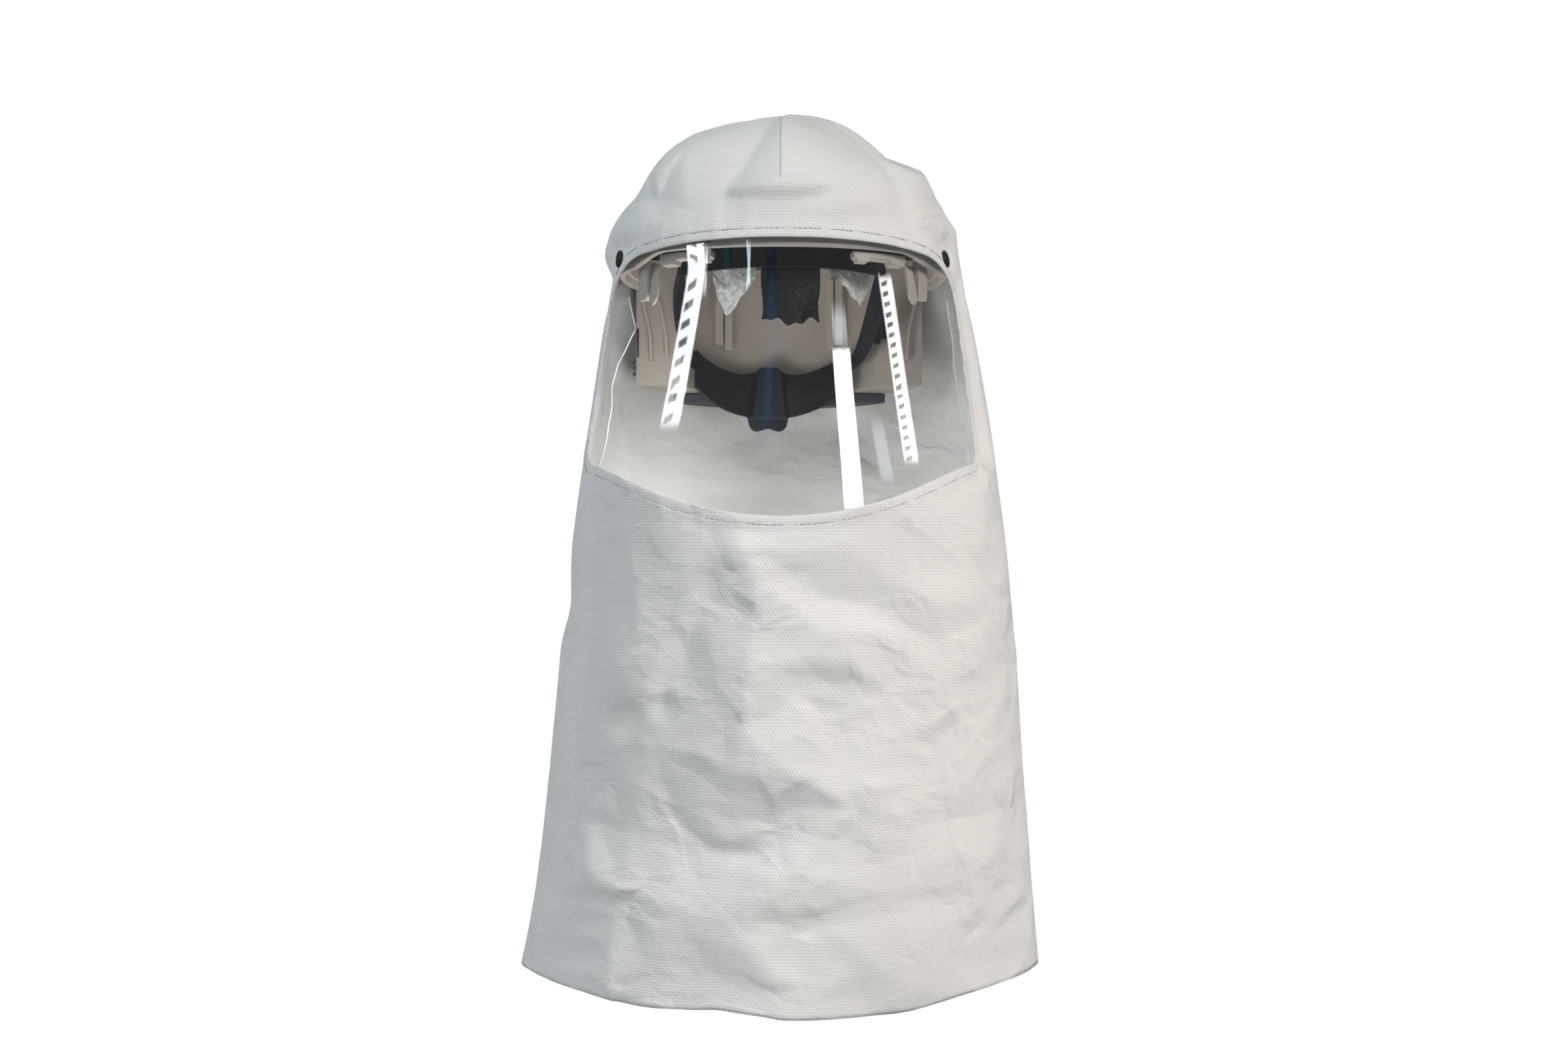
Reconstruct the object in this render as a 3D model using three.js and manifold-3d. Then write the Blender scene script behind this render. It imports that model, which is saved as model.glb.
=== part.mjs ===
// Powered air respirator hood: a white cloth hood with a clear face lens, snapped at the
// temples to a helmet that carries a headband with a nape knob.
// Millimetres, +Z up, the wearer faces -Y. The origin is the middle of the headband at brow height.

import * as THREE from "three";
import { mergeVertices } from "three/addons/utils/BufferGeometryUtils.js";
import Module from "manifold-3d";

const wasm = await Module();
wasm.setup();
const { clamp, degToRad, lerp, smoothstep } = THREE.MathUtils;

// Driving dimensions

const GAP = 0.3; // between pieces that touch
const CLOTH_WALL = 1.2;
const CLOTH_COLUMNS = 44;
const CLOTH_CROWDING = 0.35; // columns lie closer at the front than at the back

// Plan sections of the hood from the hem to the crown: half width, depth to front and back, shift
// towards +X, how square the plan is (2 is an ellipse) and rows of facets up to the next section.
const HOOD_SECTIONS = [
  { z: -502, half: 190, front: 154, back: 156, shift: 0, square: 1.65, rows: 4 },
  { z: -440, half: 180.3, front: 152, back: 151, shift: 3, square: 1.75, rows: 6 },
  { z: -340, half: 169.5, front: 149, back: 147, shift: 3.6, square: 1.9, rows: 6 },
  { z: -240, half: 158.8, front: 147, back: 145, shift: 3.6, square: 2.05, rows: 4 },
  { z: -160, half: 149.4, front: 145, back: 145, shift: 1.8, square: 2.2, rows: 2 },
  { z: -90, half: 138.5, front: 139, back: 145, shift: 2.6, square: 2.2, rows: 2 },
  { z: -40, half: 131, front: 133, back: 144, shift: 3.2, square: 2.2, rows: 2 },
  { z: 0, half: 124.5, front: 126, back: 142, shift: 3, square: 2.2, rows: 2 },
  { z: 28, half: 120, front: 121, back: 138, shift: 1, square: 2.2, rows: 2 },
  { z: 50, half: 113, front: 113, back: 131, shift: 0.5, square: 2.2, rows: 2 },
  { z: 72, half: 98, front: 99, back: 118, shift: 0.5, square: 2.2, rows: 1 },
  { z: 92, half: 71.5, front: 75, back: 95, shift: 3, square: 2.1, rows: 1 },
  { z: 107, half: 43, front: 47, back: 63, shift: 9, square: 2, rows: 1 },
  { z: 115.5, half: 18, front: 20, back: 28, shift: 15, square: 2, rows: 1 },
  { z: 118, half: 0, front: 0, back: 0, shift: 18, square: 2, rows: 0 },
];
const CROWN = HOOD_SECTIONS.length - 1;

// Main folds and bulges of the cloth. Angle runs from the front towards the wearer's left,
// +X; lean tips the fold's run from upright towards +X; push is out of the hood.
const FOLD_RADIUS = 150;
const SMOOTH_HEM = { from: 11, to: 36 }; // folds grow over this distance from the window
const SMOOTH_SNAP = { from: 10, to: 28 };
const SMOOTH_CROWN = { from: 106, to: 117 }; // and fade over these heights
const FOLDS = [
  { at: "slack right side", angle: 97, z: -165, lean: 0, length: 190, width: 85, push: 12 },
  { at: "oval boss under the cloth", angle: 0, z: 44, lean: 90, length: 26, width: 9, push: 3 },
  { at: "left temple knuckle", angle: -92, z: 16, lean: 0, length: 15, width: 30, push: 7 },
  { at: "left temple tuck", angle: -90, z: -13, lean: 0, length: 15, width: 34, push: -4 },
  { at: "right temple knuckle", angle: 86, z: 40, lean: -20, length: 17, width: 26, push: 5 },
  { at: "right crown hollow", angle: 70, z: 82, lean: 0, length: 14, width: 44, push: -3 },
  { at: "left cheek crease", angle: -78, z: -232, lean: 60, length: 34, width: 17, push: -5 },
  { at: "left front ridge", angle: -46, z: -312, lean: -24, length: 62, width: 19, push: 6 },
  { at: "left front hollow", angle: -58, z: -300, lean: -14, length: 58, width: 20, push: -6 },
  { at: "middle ridge", angle: 2, z: -262, lean: 8, length: 78, width: 24, push: 6 },
  { at: "right front hollow", angle: 26, z: -232, lean: -58, length: 46, width: 20, push: -5 },
  { at: "right front ridge", angle: 34, z: -288, lean: -40, length: 52, width: 20, push: 5 },
  { at: "lower left crush", angle: -58, z: -400, lean: 78, length: 50, width: 17, push: 7 },
  { at: "lower left dent", angle: -54, z: -376, lean: 80, length: 52, width: 15, push: -6 },
  { at: "hem left crush", angle: -62, z: -452, lean: 74, length: 44, width: 17, push: 6 },
  { at: "lower middle hollow", angle: -8, z: -382, lean: 62, length: 60, width: 24, push: -6 },
  { at: "lower right ridge", angle: 18, z: -400, lean: 66, length: 56, width: 22, push: 5 },
  { at: "hem middle hollow", angle: 8, z: -470, lean: -50, length: 40, width: 20, push: -5 },
  { at: "back left pleat", angle: -142, z: -380, lean: 4, length: 130, width: 26, push: 8 },
  { at: "back right pleat", angle: 148, z: -390, lean: -4, length: 120, width: 28, push: 8 },
  { at: "back middle hollow", angle: 178, z: -340, lean: 0, length: 130, width: 34, push: -8 },
  { at: "nape hollow", angle: 180, z: -150, lean: 90, length: 70, width: 30, push: -4 },
];

// Window and lens
const WINDOW_REACH = degToRad(71); // side edges, as an angle each way from the front
const WINDOW_TOP = { middle: 10.5, droop: 11, corner: 20, cornerStart: 0.72 };
const WINDOW_BOTTOM = { middle: -175, rise: 37, corner: 18, cornerStart: 0.9 };
const WINDOW_CUT = { inset: -12, wall: 24 };
const LENS_WALL = 1.0;
const LENS_INSET = CLOTH_WALL + 0.7;
const LENS_MARGIN = 10;
const LENS_REACH = WINDOW_REACH + degToRad(4);
const LENS_TOP_REACH = LENS_REACH * 1.25; // its upper corners are squarer than the window's
const EDGE_TAPE = { from: degToRad(66.5), to: degToRad(73), low: -158, high: -22, wall: 1.0 };
const SNAP = { angle: degToRad(66.5), z: 6, capRadius: 6.2, capHeight: 2.4 };
const SNAP_POST = { radius: 2.5, holeLength: 14 };

// Helmet
const RIM_TOP = 25;
const RIM_LOW = { front: 7.5, side: -1, dropFrom: degToRad(42), dropTo: degToRad(62) };
const RIM_INSET = 5.5;
const RIM_DEPTH = 6;
const RIM_END = degToRad(110.2);
const SHELL_INSET = 5.5;
const SHELL_WALL = 2.6;
const SHELL_COLUMNS = 30;
const BOSS = { z: 44, half: 29, height: 8.5, proud: 6.2, seat: 0.6 };
const LUG = { angle: degToRad(61), inset: 12.9, half: 7.4, depth: 8, low: -24, high: 3 };
const LUG_PLATE = { from: degToRad(51), to: degToRad(56.5), inset: 17.5, wall: 2, low: -25, high: 3 };
const RAIL = { from: degToRad(23), to: degToRad(47.5), inset: 11.8, depth: 7, low: -1, high: 6 };
const RAIL_STEPS = [0, 4, 4, 0, 0, 0, 0, 5, 5, 5, 0]; // drop of its lower edge, from front to side
const TAB = { angle: degToRad(-25), half: degToRad(3.4), low: -4, high: 17, inset: 4, wall: 1.2 };
const TAB_ROUND = 7;
const HOUSING = { front: 55, top: 23.4, frontLow: -74.5, backLow: -80, columns: 22 };
const HOUSING_OUTER = { half: 117, back: 130, roundness: 2.3 };
const HOUSING_INNER = { half: 84, back: 122, roundness: 2 };
const FLANGE = { wall: 2.6, proud: 6, rooted: 2, steps: 8 };
const FLANGE_RUNS = [
  [
    { x: 106, z: -3 },
    { x: 101.5, z: -21 },
    { x: 98.5, z: -36 },
    { x: 97.5, z: -56 },
  ],
  [
    { x: 92, z: -9 },
    { x: 89, z: -23 },
    { x: 86.5, z: -36 },
    { x: 85.5, z: -52 },
  ],
];
const POSTS = [
  { x: 50, y: 95, half: 3.3, depth: 7, low: -40, high: 12 },
  { x: 42.4, y: 101, half: 3.2, depth: 7, low: -43.5, high: 12 },
];
const SEAL = { height: 8, from: 0.17, to: 0.83, half: HOUSING_OUTER.half - 3, back: HOUSING_OUTER.back - 2 };
const SIDE_PAD = { x: 75, z: -31, half: 8, height: 24, depth: 6 };

// Headband, turned a little on the head as it hangs
const BAND_YAW = degToRad(5);
const BAND = { half: 80, rearHalf: 73, front: 93, back: 97, wall: 2.4 };
const BROW_BAND = { end: degToRad(62), low: -5, high: 24 };
const STRAP = { from: degToRad(62.4), to: degToRad(126.5), start: 8, end: -58, lean: 20 };
const STRAP_HALF = { start: 13, end: 8 };
const NAPE = { from: degToRad(127), to: degToRad(233), wall: 4 };
const NAPE_TOP = { middle: -66, bump: 8, bumpWidth: 0.22, rise: 18 };
const NAPE_BOTTOM = { middle: -98, rise: 22 };
const KNOB = { z: -86, radius: 21.5, lobe: 2.2, lobes: 6, depth: 11, points: 42 };
const HUB = { radius: 5, length: NAPE.wall + 2, sunk: 1, hole: 5.6, holeLength: 30 };
const COVER = { halfTop: 10, halfFoot: 14.5, low: -99, high: -58, depth: 6, round: 6, clear: 2 };
const FLAP = { from: degToRad(-14.5), to: degToRad(15.5), low: -43, high: 4, wall: 1 };
const FILM_SIDES = 0.62; // share of a film's drop that is left at its sides
const PAD_FILMS = [
  { side: "left", from: degToRad(-42), to: degToRad(-17.5), low: -36, high: 2 },
  { side: "right", from: degToRad(18), to: degToRad(51), low: -28, high: 2 },
];
const HOOK = { angle: degToRad(57), low: 4, high: 13, wall: 4, rimSlack: 1 };

// Finishes

function finish(color, roughness, options = {}) {
  return new THREE.MeshStandardMaterial({ color, roughness, metalness: 0, ...options });
}

const FINISH = {
  cloth: finish(0xe4e5e3, 0.85),
  tape: finish(0xd9d8d3, 0.6),
  lens: finish(0xeef4f4, 0.05, { transparent: true, opacity: 0.2 }),
  snap: finish(0x14150f, 0.35, { metalness: 0.4 }),
  helmet: finish(0xb3a89e, 0.5),
  seal: finish(0x1b1f2a, 0.5),
  band: finish(0x16181c, 0.6),
  flap: finish(0x0d0e11, 0.3),
  film: finish(0xc9cac4, 0.55, { transparent: true, opacity: 0.7 }),
  knob: finish(0x1b2126, 0.4),
};

// Hood surface

// A smooth value of one column of the sections, v counting sections from the hem.
function sectionValue(column, v) {
  const at = (i) => HOOD_SECTIONS[clamp(i, 0, CROWN)][column];
  const i = Math.min(Math.floor(v), CROWN - 1);
  const t = v - i;
  const [before, from, to, after] = [at(i - 1), at(i), at(i + 1), at(i + 2)];
  const slope = (to - before) * t;
  const bend = (2 * before - 5 * from + 4 * to - after) * t ** 2;
  const twist = (3 * from - before - 3 * to + after) * t ** 3;
  return (2 * from + slope + bend + twist) / 2;
}

// sin or cos of a superellipse
function squared(value, roundness) {
  return Math.sign(value) * Math.abs(value) ** (2 / roundness);
}

function hoodPoint(angle, v) {
  const square = sectionValue("square", v);
  const side = sectionValue("half", v) * squared(Math.sin(angle), square);
  const depth = sectionValue(Math.cos(angle) > 0 ? "front" : "back", v);
  const ahead = depth * squared(Math.cos(angle), square);
  return new THREE.Vector3(sectionValue("shift", v) + side, -ahead, sectionValue("z", v));
}

function hoodNormal(angle, v) {
  const step = 1e-3;
  if (v > CROWN - 10 * step) return new THREE.Vector3(0, 0, 1);
  const around = hoodPoint(angle + step, v).sub(hoodPoint(angle - step, v));
  const up = hoodPoint(angle, v + step).sub(hoodPoint(angle, Math.max(v - step, 0)));
  return around.cross(up).normalize();
}

// A point inset from the hood's surface, along its normal.
function insetPoint(angle, v, inset) {
  return hoodPoint(angle, v).addScaledVector(hoodNormal(angle, v), -inset);
}

function sectionAtHeight(z) {
  let [low, high] = [0, CROWN];
  while (high - low > 1e-5) {
    const middle = (low + high) / 2;
    if (sectionValue("z", middle) < z) low = middle;
    else high = middle;
  }
  return low;
}

function pointAtHeight(angle, z, inset) {
  return insetPoint(angle, sectionAtHeight(z), inset);
}

// Share of a rounded corner's height that is gone at this share of the way to the side.
function cornerDrop(share, start) {
  const q = clamp((share - start) / (1 - start), 0, 1);
  return 1 - Math.sqrt(1 - q ** 2);
}

function windowTop(angle, reach = WINDOW_REACH) {
  const share = Math.min(Math.abs(angle) / reach, 1);
  const { middle, droop, corner, cornerStart } = WINDOW_TOP;
  return middle - droop * share ** 2 - corner * cornerDrop(share, cornerStart);
}

function windowBottom(angle, reach = WINDOW_REACH) {
  const share = Math.min(Math.abs(angle) / reach, 1);
  const { middle, rise, corner, cornerStart } = WINDOW_BOTTOM;
  const swept = (rise * (1 - Math.cos(Math.PI * share))) / 2;
  return middle + swept + corner * cornerDrop(share, cornerStart);
}

// 0 on the window, its hem and the snaps, which keep the cloth smooth, and 1 away from them.
function awayFromWindow(angle, z) {
  const past = Math.max(
    (Math.abs(angle) - WINDOW_REACH) * FOLD_RADIUS,
    z - windowTop(angle),
    windowBottom(angle) - z,
  );
  const fromSnap = Math.hypot((Math.abs(angle) - SNAP.angle) * FOLD_RADIUS, z - SNAP.z);
  const offHem = smoothstep(past, SMOOTH_HEM.from, SMOOTH_HEM.to);
  return offHem * smoothstep(fromSnap, SMOOTH_SNAP.from, SMOOTH_SNAP.to);
}

function foldHeight(angle, z) {
  let height = 0;
  for (const fold of FOLDS) {
    const turn = angle - degToRad(fold.angle);
    const around = Math.atan2(Math.sin(turn), Math.cos(turn)) * FOLD_RADIUS;
    const up = z - fold.z;
    const [s, c] = [Math.sin(degToRad(fold.lean)), Math.cos(degToRad(fold.lean))];
    const across = (around * c - up * s) / fold.width;
    const along = (around * s + up * c) / fold.length;
    height += fold.push * Math.exp(-(across ** 2) - along ** 2);
  }
  const belowCrown = 1 - smoothstep(z, SMOOTH_CROWN.from, SMOOTH_CROWN.to);
  return height * awayFromWindow(angle, z) * belowCrown;
}

// Solids

// One welded geometry, with collapsed triangles dropped.
function weld(geometry) {
  const bare = new THREE.BufferGeometry();
  bare.setAttribute("position", geometry.getAttribute("position"));
  if (geometry.index) bare.setIndex(geometry.index);
  const merged = mergeVertices(bare, 1e-4);
  const kept = [];
  for (let i = 0; i < merged.index.count; i += 3) {
    const [a, b, c] = [0, 1, 2].map((k) => merged.index.getX(i + k));
    if (a !== b && b !== c && c !== a) kept.push(a, b, c);
  }
  merged.setIndex(kept);
  return merged;
}

function toSolid(geometry) {
  const welded = weld(geometry);
  return new wasm.Manifold(
    new wasm.Mesh({
      numProp: 3,
      vertProperties: new Float32Array(welded.getAttribute("position").array),
      triVerts: new Uint32Array(welded.index.array),
    }),
  );
}

function toGeometry(solid) {
  const mesh = solid.getMesh();
  const geometry = new THREE.BufferGeometry();
  geometry.setAttribute("position", new THREE.BufferAttribute(mesh.vertProperties, 3));
  geometry.setIndex(new THREE.BufferAttribute(mesh.triVerts, 1));
  geometry.computeVertexNormals();
  return geometry;
}

function cut(geometry, ...cutters) {
  return toGeometry(cutters.reduce((left, c) => left.subtract(toSolid(c)), toSolid(geometry)));
}

function fuse(geometry, ...others) {
  return toGeometry(others.reduce((sum, other) => sum.add(toSolid(other)), toSolid(geometry)));
}

// A closed wall between two grids of points. Columns run to the right and rows upwards as seen
// from outside. A ring has no side edges, and a row of equal points closes it with a fan.
function wallSolid({ rows, columns, outer, inner, ring = false }) {
  const positions = [];
  const grid = (at) =>
    Array.from({ length: rows + 1 }, (_, i) =>
      Array.from({ length: columns + 1 }, (_, j) => at(i / rows, (ring ? j % columns : j) / columns)),
    );
  const [out, back] = [grid(outer), grid(inner)];
  const quad = (a, b, c, d) => {
    for (const p of [a, b, c, a, c, d]) positions.push(p.x, p.y, p.z);
  };
  for (let i = 0; i < rows; i++) {
    for (let j = 0; j < columns; j++) {
      quad(out[i][j], out[i][j + 1], out[i + 1][j + 1], out[i + 1][j]);
      quad(back[i][j], back[i + 1][j], back[i + 1][j + 1], back[i][j + 1]);
    }
  }
  for (let j = 0; j < columns; j++) {
    quad(back[0][j], back[0][j + 1], out[0][j + 1], out[0][j]);
    quad(out[rows][j], out[rows][j + 1], back[rows][j + 1], back[rows][j]);
  }
  for (let i = 0; i < rows && !ring; i++) {
    quad(back[i][0], out[i][0], out[i + 1][0], back[i + 1][0]);
    const end = columns;
    quad(out[i][end], back[i][end], back[i + 1][end], out[i + 1][end]);
  }
  const geometry = new THREE.BufferGeometry();
  geometry.setAttribute("position", new THREE.Float32BufferAttribute(positions, 3));
  return weld(geometry);
}

// A curved plate that follows the hood, between two angles, two edges and two insets.
function hoodPlate({ from, to, low, high, inset, wall, columns, rows = 1, crowd = false }) {
  const edge = (value, angle) => (typeof value === "function" ? value(angle) : value);
  const at = (depth) => (up, across) => {
    const share = crowd ? (1 - Math.cos(Math.PI * across)) / 2 : across;
    const angle = lerp(from, to, share);
    return pointAtHeight(angle, lerp(edge(low, angle), edge(high, angle), up), depth);
  };
  return wallSolid({ rows, columns, outer: at(inset), inner: at(inset + wall) });
}

// A plate along the headband, offset outwards from its middle line. Lean pulls its upper edge in.
function bandPlate({ from, to, low, high, offset, wall, columns, rows = 1, lean = 0 }) {
  const edge = (value, angle) => (typeof value === "function" ? value(angle) : value);
  const at = (out) => (up, across) => {
    const angle = lerp(from, to, across);
    const [side, ahead] = [Math.sin(angle), Math.cos(angle)];
    const depth = ahead > 0 ? BAND.front : BAND.back;
    const z = lerp(edge(low, angle), edge(high, angle), up);
    const half = lerp(BAND.half, BAND.rearHalf, smoothstep(-ahead, -0.5, 0.5));
    const pulledIn = lean * up * Math.sin(Math.PI * across);
    const spread = out - pulledIn;
    return new THREE.Vector3((half + spread) * side, -(depth + spread) * ahead, z);
  };
  return wallSolid({ rows, columns, outer: at(offset + wall / 2), inner: at(offset - wall / 2) });
}

// An outline in X and Z, standing up, with its thickness from y = 0 towards +Y.
function upright(shape, depth, curveSegments = 6) {
  const geometry = new THREE.ExtrudeGeometry(shape, { depth, bevelEnabled: false, curveSegments });
  return geometry.rotateX(Math.PI / 2).translate(0, depth, 0);
}

function box(width, depth, height) {
  return new THREE.BoxGeometry(width, depth, height);
}

// A geometry at a point of the hood, its X along the wall to the right, its Y into the hood.
function placeOnHood(geometry, angle, z, inset) {
  const v = sectionAtHeight(z);
  const normal = hoodNormal(angle, v);
  const point = insetPoint(angle, v, inset);
  const turn = Math.atan2(normal.x, -normal.y);
  return geometry.rotateZ(turn).translate(point.x, point.y, 0);
}

// A geometry whose +Y axis is turned to the hood's outward normal at a point of its surface.
function raiseOnHood(geometry, angle, z) {
  const v = sectionAtHeight(z);
  const point = hoodPoint(angle, v);
  const turn = new THREE.Quaternion();
  turn.setFromUnitVectors(new THREE.Vector3(0, 1, 0), hoodNormal(angle, v));
  return geometry.applyQuaternion(turn).translate(point.x, point.y, point.z);
}

function mesh(name, geometry, material) {
  const made = new THREE.Mesh(geometry, material.clone());
  made.name = name;
  return made;
}

const SIDES = [
  { name: "left", sign: -1 },
  { name: "right", sign: 1 },
];

// Hood cloth, lens and snaps

function snapHole(side) {
  const radius = SNAP_POST.radius + GAP;
  const hole = new THREE.CylinderGeometry(radius, radius, SNAP_POST.holeLength, 12);
  return raiseOnHood(hole, side.sign * SNAP.angle, SNAP.z);
}

function hoodCloth() {
  const levels = HOOD_SECTIONS.flatMap(({ rows }, i) =>
    Array.from({ length: rows }, (_, k) => i + k / rows),
  ).concat(CROWN);
  const rows = levels.length - 1;
  const at = (depth) => (up, across) => {
    const v = levels[Math.round(up * rows)];
    const turn = across * 2 * Math.PI - Math.PI;
    const angle = turn - CLOTH_CROWDING * Math.sin(turn);
    return insetPoint(angle, v, depth - foldHeight(angle, sectionValue("z", v)));
  };
  const wall = wallSolid({
    rows,
    columns: CLOTH_COLUMNS,
    outer: at(0),
    inner: at(CLOTH_WALL),
    ring: true,
  });
  const opening = hoodPlate({
    from: -WINDOW_REACH,
    to: WINDOW_REACH,
    low: windowBottom,
    high: windowTop,
    ...WINDOW_CUT,
    columns: 26,
    rows: 4,
    crowd: true,
  });
  return mesh("hood_cloth", cut(wall, opening, ...SIDES.map(snapHole)), FINISH.cloth);
}

function faceLens() {
  const sheet = hoodPlate({
    from: -LENS_REACH,
    to: LENS_REACH,
    low: (angle) => windowBottom(angle, LENS_REACH) - LENS_MARGIN,
    high: (angle) => windowTop(angle, LENS_TOP_REACH) + LENS_MARGIN,
    inset: LENS_INSET,
    wall: LENS_WALL,
    columns: 26,
    rows: 6,
  });
  return mesh("face_lens", cut(sheet, ...SIDES.map(snapHole)), FINISH.lens);
}

function lensEdge(side) {
  const ends = [side.sign * EDGE_TAPE.from, side.sign * EDGE_TAPE.to];
  const strip = hoodPlate({
    from: Math.min(...ends),
    to: Math.max(...ends),
    low: EDGE_TAPE.low,
    high: EDGE_TAPE.high,
    inset: LENS_INSET + LENS_WALL + 2 * GAP,
    wall: EDGE_TAPE.wall,
    columns: 2,
    rows: 5,
  });
  return mesh(`lens_edge_${side.name}`, strip, FINISH.tape);
}

function snap(side) {
  const { capRadius, capHeight } = SNAP;
  const profile = [
    [0, GAP - RIM_INSET],
    [SNAP_POST.radius, GAP - RIM_INSET],
    [SNAP_POST.radius, GAP],
    [capRadius, GAP],
    [capRadius, capHeight * 0.45],
    [capRadius * 0.86, capHeight * 0.8],
    [capRadius * 0.6, capHeight * 0.55],
    [capRadius * 0.42, capHeight * 0.9],
    [0, capHeight],
  ].map(([r, y]) => new THREE.Vector2(r, y));
  const turned = new THREE.LatheGeometry(profile, 12);
  const placed = raiseOnHood(turned, side.sign * SNAP.angle, SNAP.z);
  return mesh(`snap_${side.name}`, weld(placed), FINISH.snap);
}

// Helmet

function helmetShell() {
  const start = sectionAtHeight(RIM_TOP + 2 * GAP);
  const at = (depth) => (up, across) =>
    insetPoint(across * 2 * Math.PI - Math.PI, lerp(start, CROWN, up), depth);
  const dome = wallSolid({
    rows: 6,
    columns: SHELL_COLUMNS,
    outer: at(SHELL_INSET),
    inner: at(SHELL_INSET + SHELL_WALL),
    ring: true,
  });
  const boss = new THREE.SphereGeometry(1, 16, 8);
  boss.scale(BOSS.half, BOSS.proud, BOSS.height);
  const v = sectionAtHeight(BOSS.z);
  const normal = hoodNormal(0, v);
  const seat = insetPoint(0, v, SHELL_INSET + BOSS.seat);
  boss.rotateX(Math.asin(-normal.z)).translate(seat.x, seat.y, seat.z);
  return mesh("helmet_shell", fuse(dome, boss), FINISH.helmet);
}

// The rim's lower edge drops at the temples.
function rimBottom(angle) {
  const share = smoothstep(Math.abs(angle), RIM_LOW.dropFrom, RIM_LOW.dropTo);
  return lerp(RIM_LOW.front, RIM_LOW.side, share);
}

function browRim() {
  const beam = hoodPlate({
    from: -RIM_END,
    to: RIM_END,
    low: rimBottom,
    high: RIM_TOP,
    inset: RIM_INSET,
    wall: RIM_DEPTH,
    columns: 34,
  });
  return mesh("brow_rim", beam, FINISH.helmet);
}

// A stepped rail under the rim that backs the lens.
function lensRail(side) {
  const ends = [side.sign * RAIL.from, side.sign * RAIL.to];
  const columns = RAIL_STEPS.length - 1;
  const step = (angle) => {
    const share = (Math.abs(angle) - RAIL.from) / (RAIL.to - RAIL.from);
    return RAIL.low - RAIL_STEPS[Math.round(share * columns)];
  };
  const plate = hoodPlate({
    from: Math.min(...ends),
    to: Math.max(...ends),
    low: step,
    high: RAIL.high,
    inset: RAIL.inset,
    wall: RAIL.depth,
    columns,
  });
  return mesh(`lens_rail_${side.name}`, plate, FINISH.helmet);
}

function lensLug(side) {
  const { half, depth, low, high } = LUG;
  const shape = new THREE.Shape();
  shape.moveTo(-half, high);
  shape.lineTo(-half, low + half * 1.3);
  shape.quadraticCurveTo(-half * 0.9, low, -half * 0.2, low);
  shape.lineTo(half * 0.35, low);
  shape.quadraticCurveTo(half, low + half * 0.4, half, low + half * 1.6);
  shape.lineTo(half, high);
  const placed = placeOnHood(upright(shape, depth, 4), side.sign * LUG.angle, high - 1, LUG.inset);
  return mesh(`lens_lug_${side.name}`, weld(placed), FINISH.helmet);
}

function lugPlate(side) {
  const ends = [side.sign * LUG_PLATE.from, side.sign * LUG_PLATE.to];
  const plate = hoodPlate({
    from: Math.min(...ends),
    to: Math.max(...ends),
    low: LUG_PLATE.low,
    high: LUG_PLATE.high,
    inset: LUG_PLATE.inset,
    wall: LUG_PLATE.wall,
    columns: 3,
    rows: 2,
  });
  return mesh(`lug_plate_${side.name}`, plate, FINISH.helmet);
}

function lensTab() {
  const { angle, half, low, high, inset, wall } = TAB;
  const plate = hoodPlate({
    from: angle - half,
    to: angle + half,
    low: (at) => low + TAB_ROUND * (1 - Math.sqrt(1 - Math.min(((at - angle) / half) ** 2, 1))),
    high,
    inset,
    wall,
    columns: 8,
    crowd: true,
  });
  return mesh("lens_tab", plate, FINISH.lens);
}

// A point of the housing's plan, from the right front end round the back to the left one.
function housingPoint(plan, share, z) {
  const { half, back, roundness } = plan;
  const start = Math.asin((HOUSING.front / back) ** (roundness / 2));
  const turn = lerp(start, Math.PI - start, share);
  const x = half * squared(Math.cos(turn), roundness);
  const y = back * squared(Math.sin(turn), roundness);
  return new THREE.Vector3(x, y, z);
}

function housingLow(y) {
  const share = (y - HOUSING.front) / (HOUSING_OUTER.back - HOUSING.front);
  return lerp(HOUSING.frontLow, HOUSING.backLow, share);
}

// A raised S-shaped rib on a front face of the housing.
function flange(points, side) {
  const run = points.map(({ x, z }) => new THREE.Vector2(side.sign * x, z));
  const curve = new THREE.SplineCurve(run);
  const edge = (sign) =>
    curve.getPoints(FLANGE.steps).map((p, i) => {
      const tangent = curve.getTangent(i / FLANGE.steps);
      const out = (sign * FLANGE.wall) / 2;
      return new THREE.Vector2(p.x - tangent.y * out, p.y + tangent.x * out);
    });
  const shape = new THREE.Shape([...edge(1), ...edge(-1).reverse()]);
  return upright(shape, FLANGE.proud + FLANGE.rooted).translate(0, HOUSING.front - FLANGE.proud, 0);
}

function housingPost({ x, y, half, depth, low, high }, side) {
  const post = box(2 * half, 2 * depth, high - low);
  const turn = Math.atan2(side.sign * x, y);
  return post.rotateZ(-turn).translate(side.sign * x, y, (low + high) / 2);
}

function rearHousing() {
  const at = (plan) => (up, across) => {
    const { y } = housingPoint(plan, across, 0);
    return housingPoint(plan, across, lerp(housingLow(y), HOUSING.top, up));
  };
  const body = wallSolid({
    rows: 1,
    columns: HOUSING.columns,
    outer: at(HOUSING_OUTER),
    inner: at(HOUSING_INNER),
  });
  const ribs = SIDES.flatMap((side) => [
    ...FLANGE_RUNS.map((run) => flange(run, side)),
    ...POSTS.map((post) => housingPost(post, side)),
  ]);
  return mesh("rear_housing", fuse(body, ...ribs), FINISH.helmet);
}

function housingSeal() {
  const at = (plan) => (up, across) => {
    const share = lerp(SEAL.from, SEAL.to, across);
    const { y } = housingPoint(plan, share, 0);
    return housingPoint(plan, share, housingLow(y) - lerp(SEAL.height, GAP, up));
  };
  const plan = { ...SEAL, roundness: HOUSING_OUTER.roundness };
  const strip = wallSolid({ rows: 1, columns: 18, outer: at(plan), inner: at(HOUSING_INNER) });
  return mesh("housing_seal", strip, FINISH.seal);
}

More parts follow.
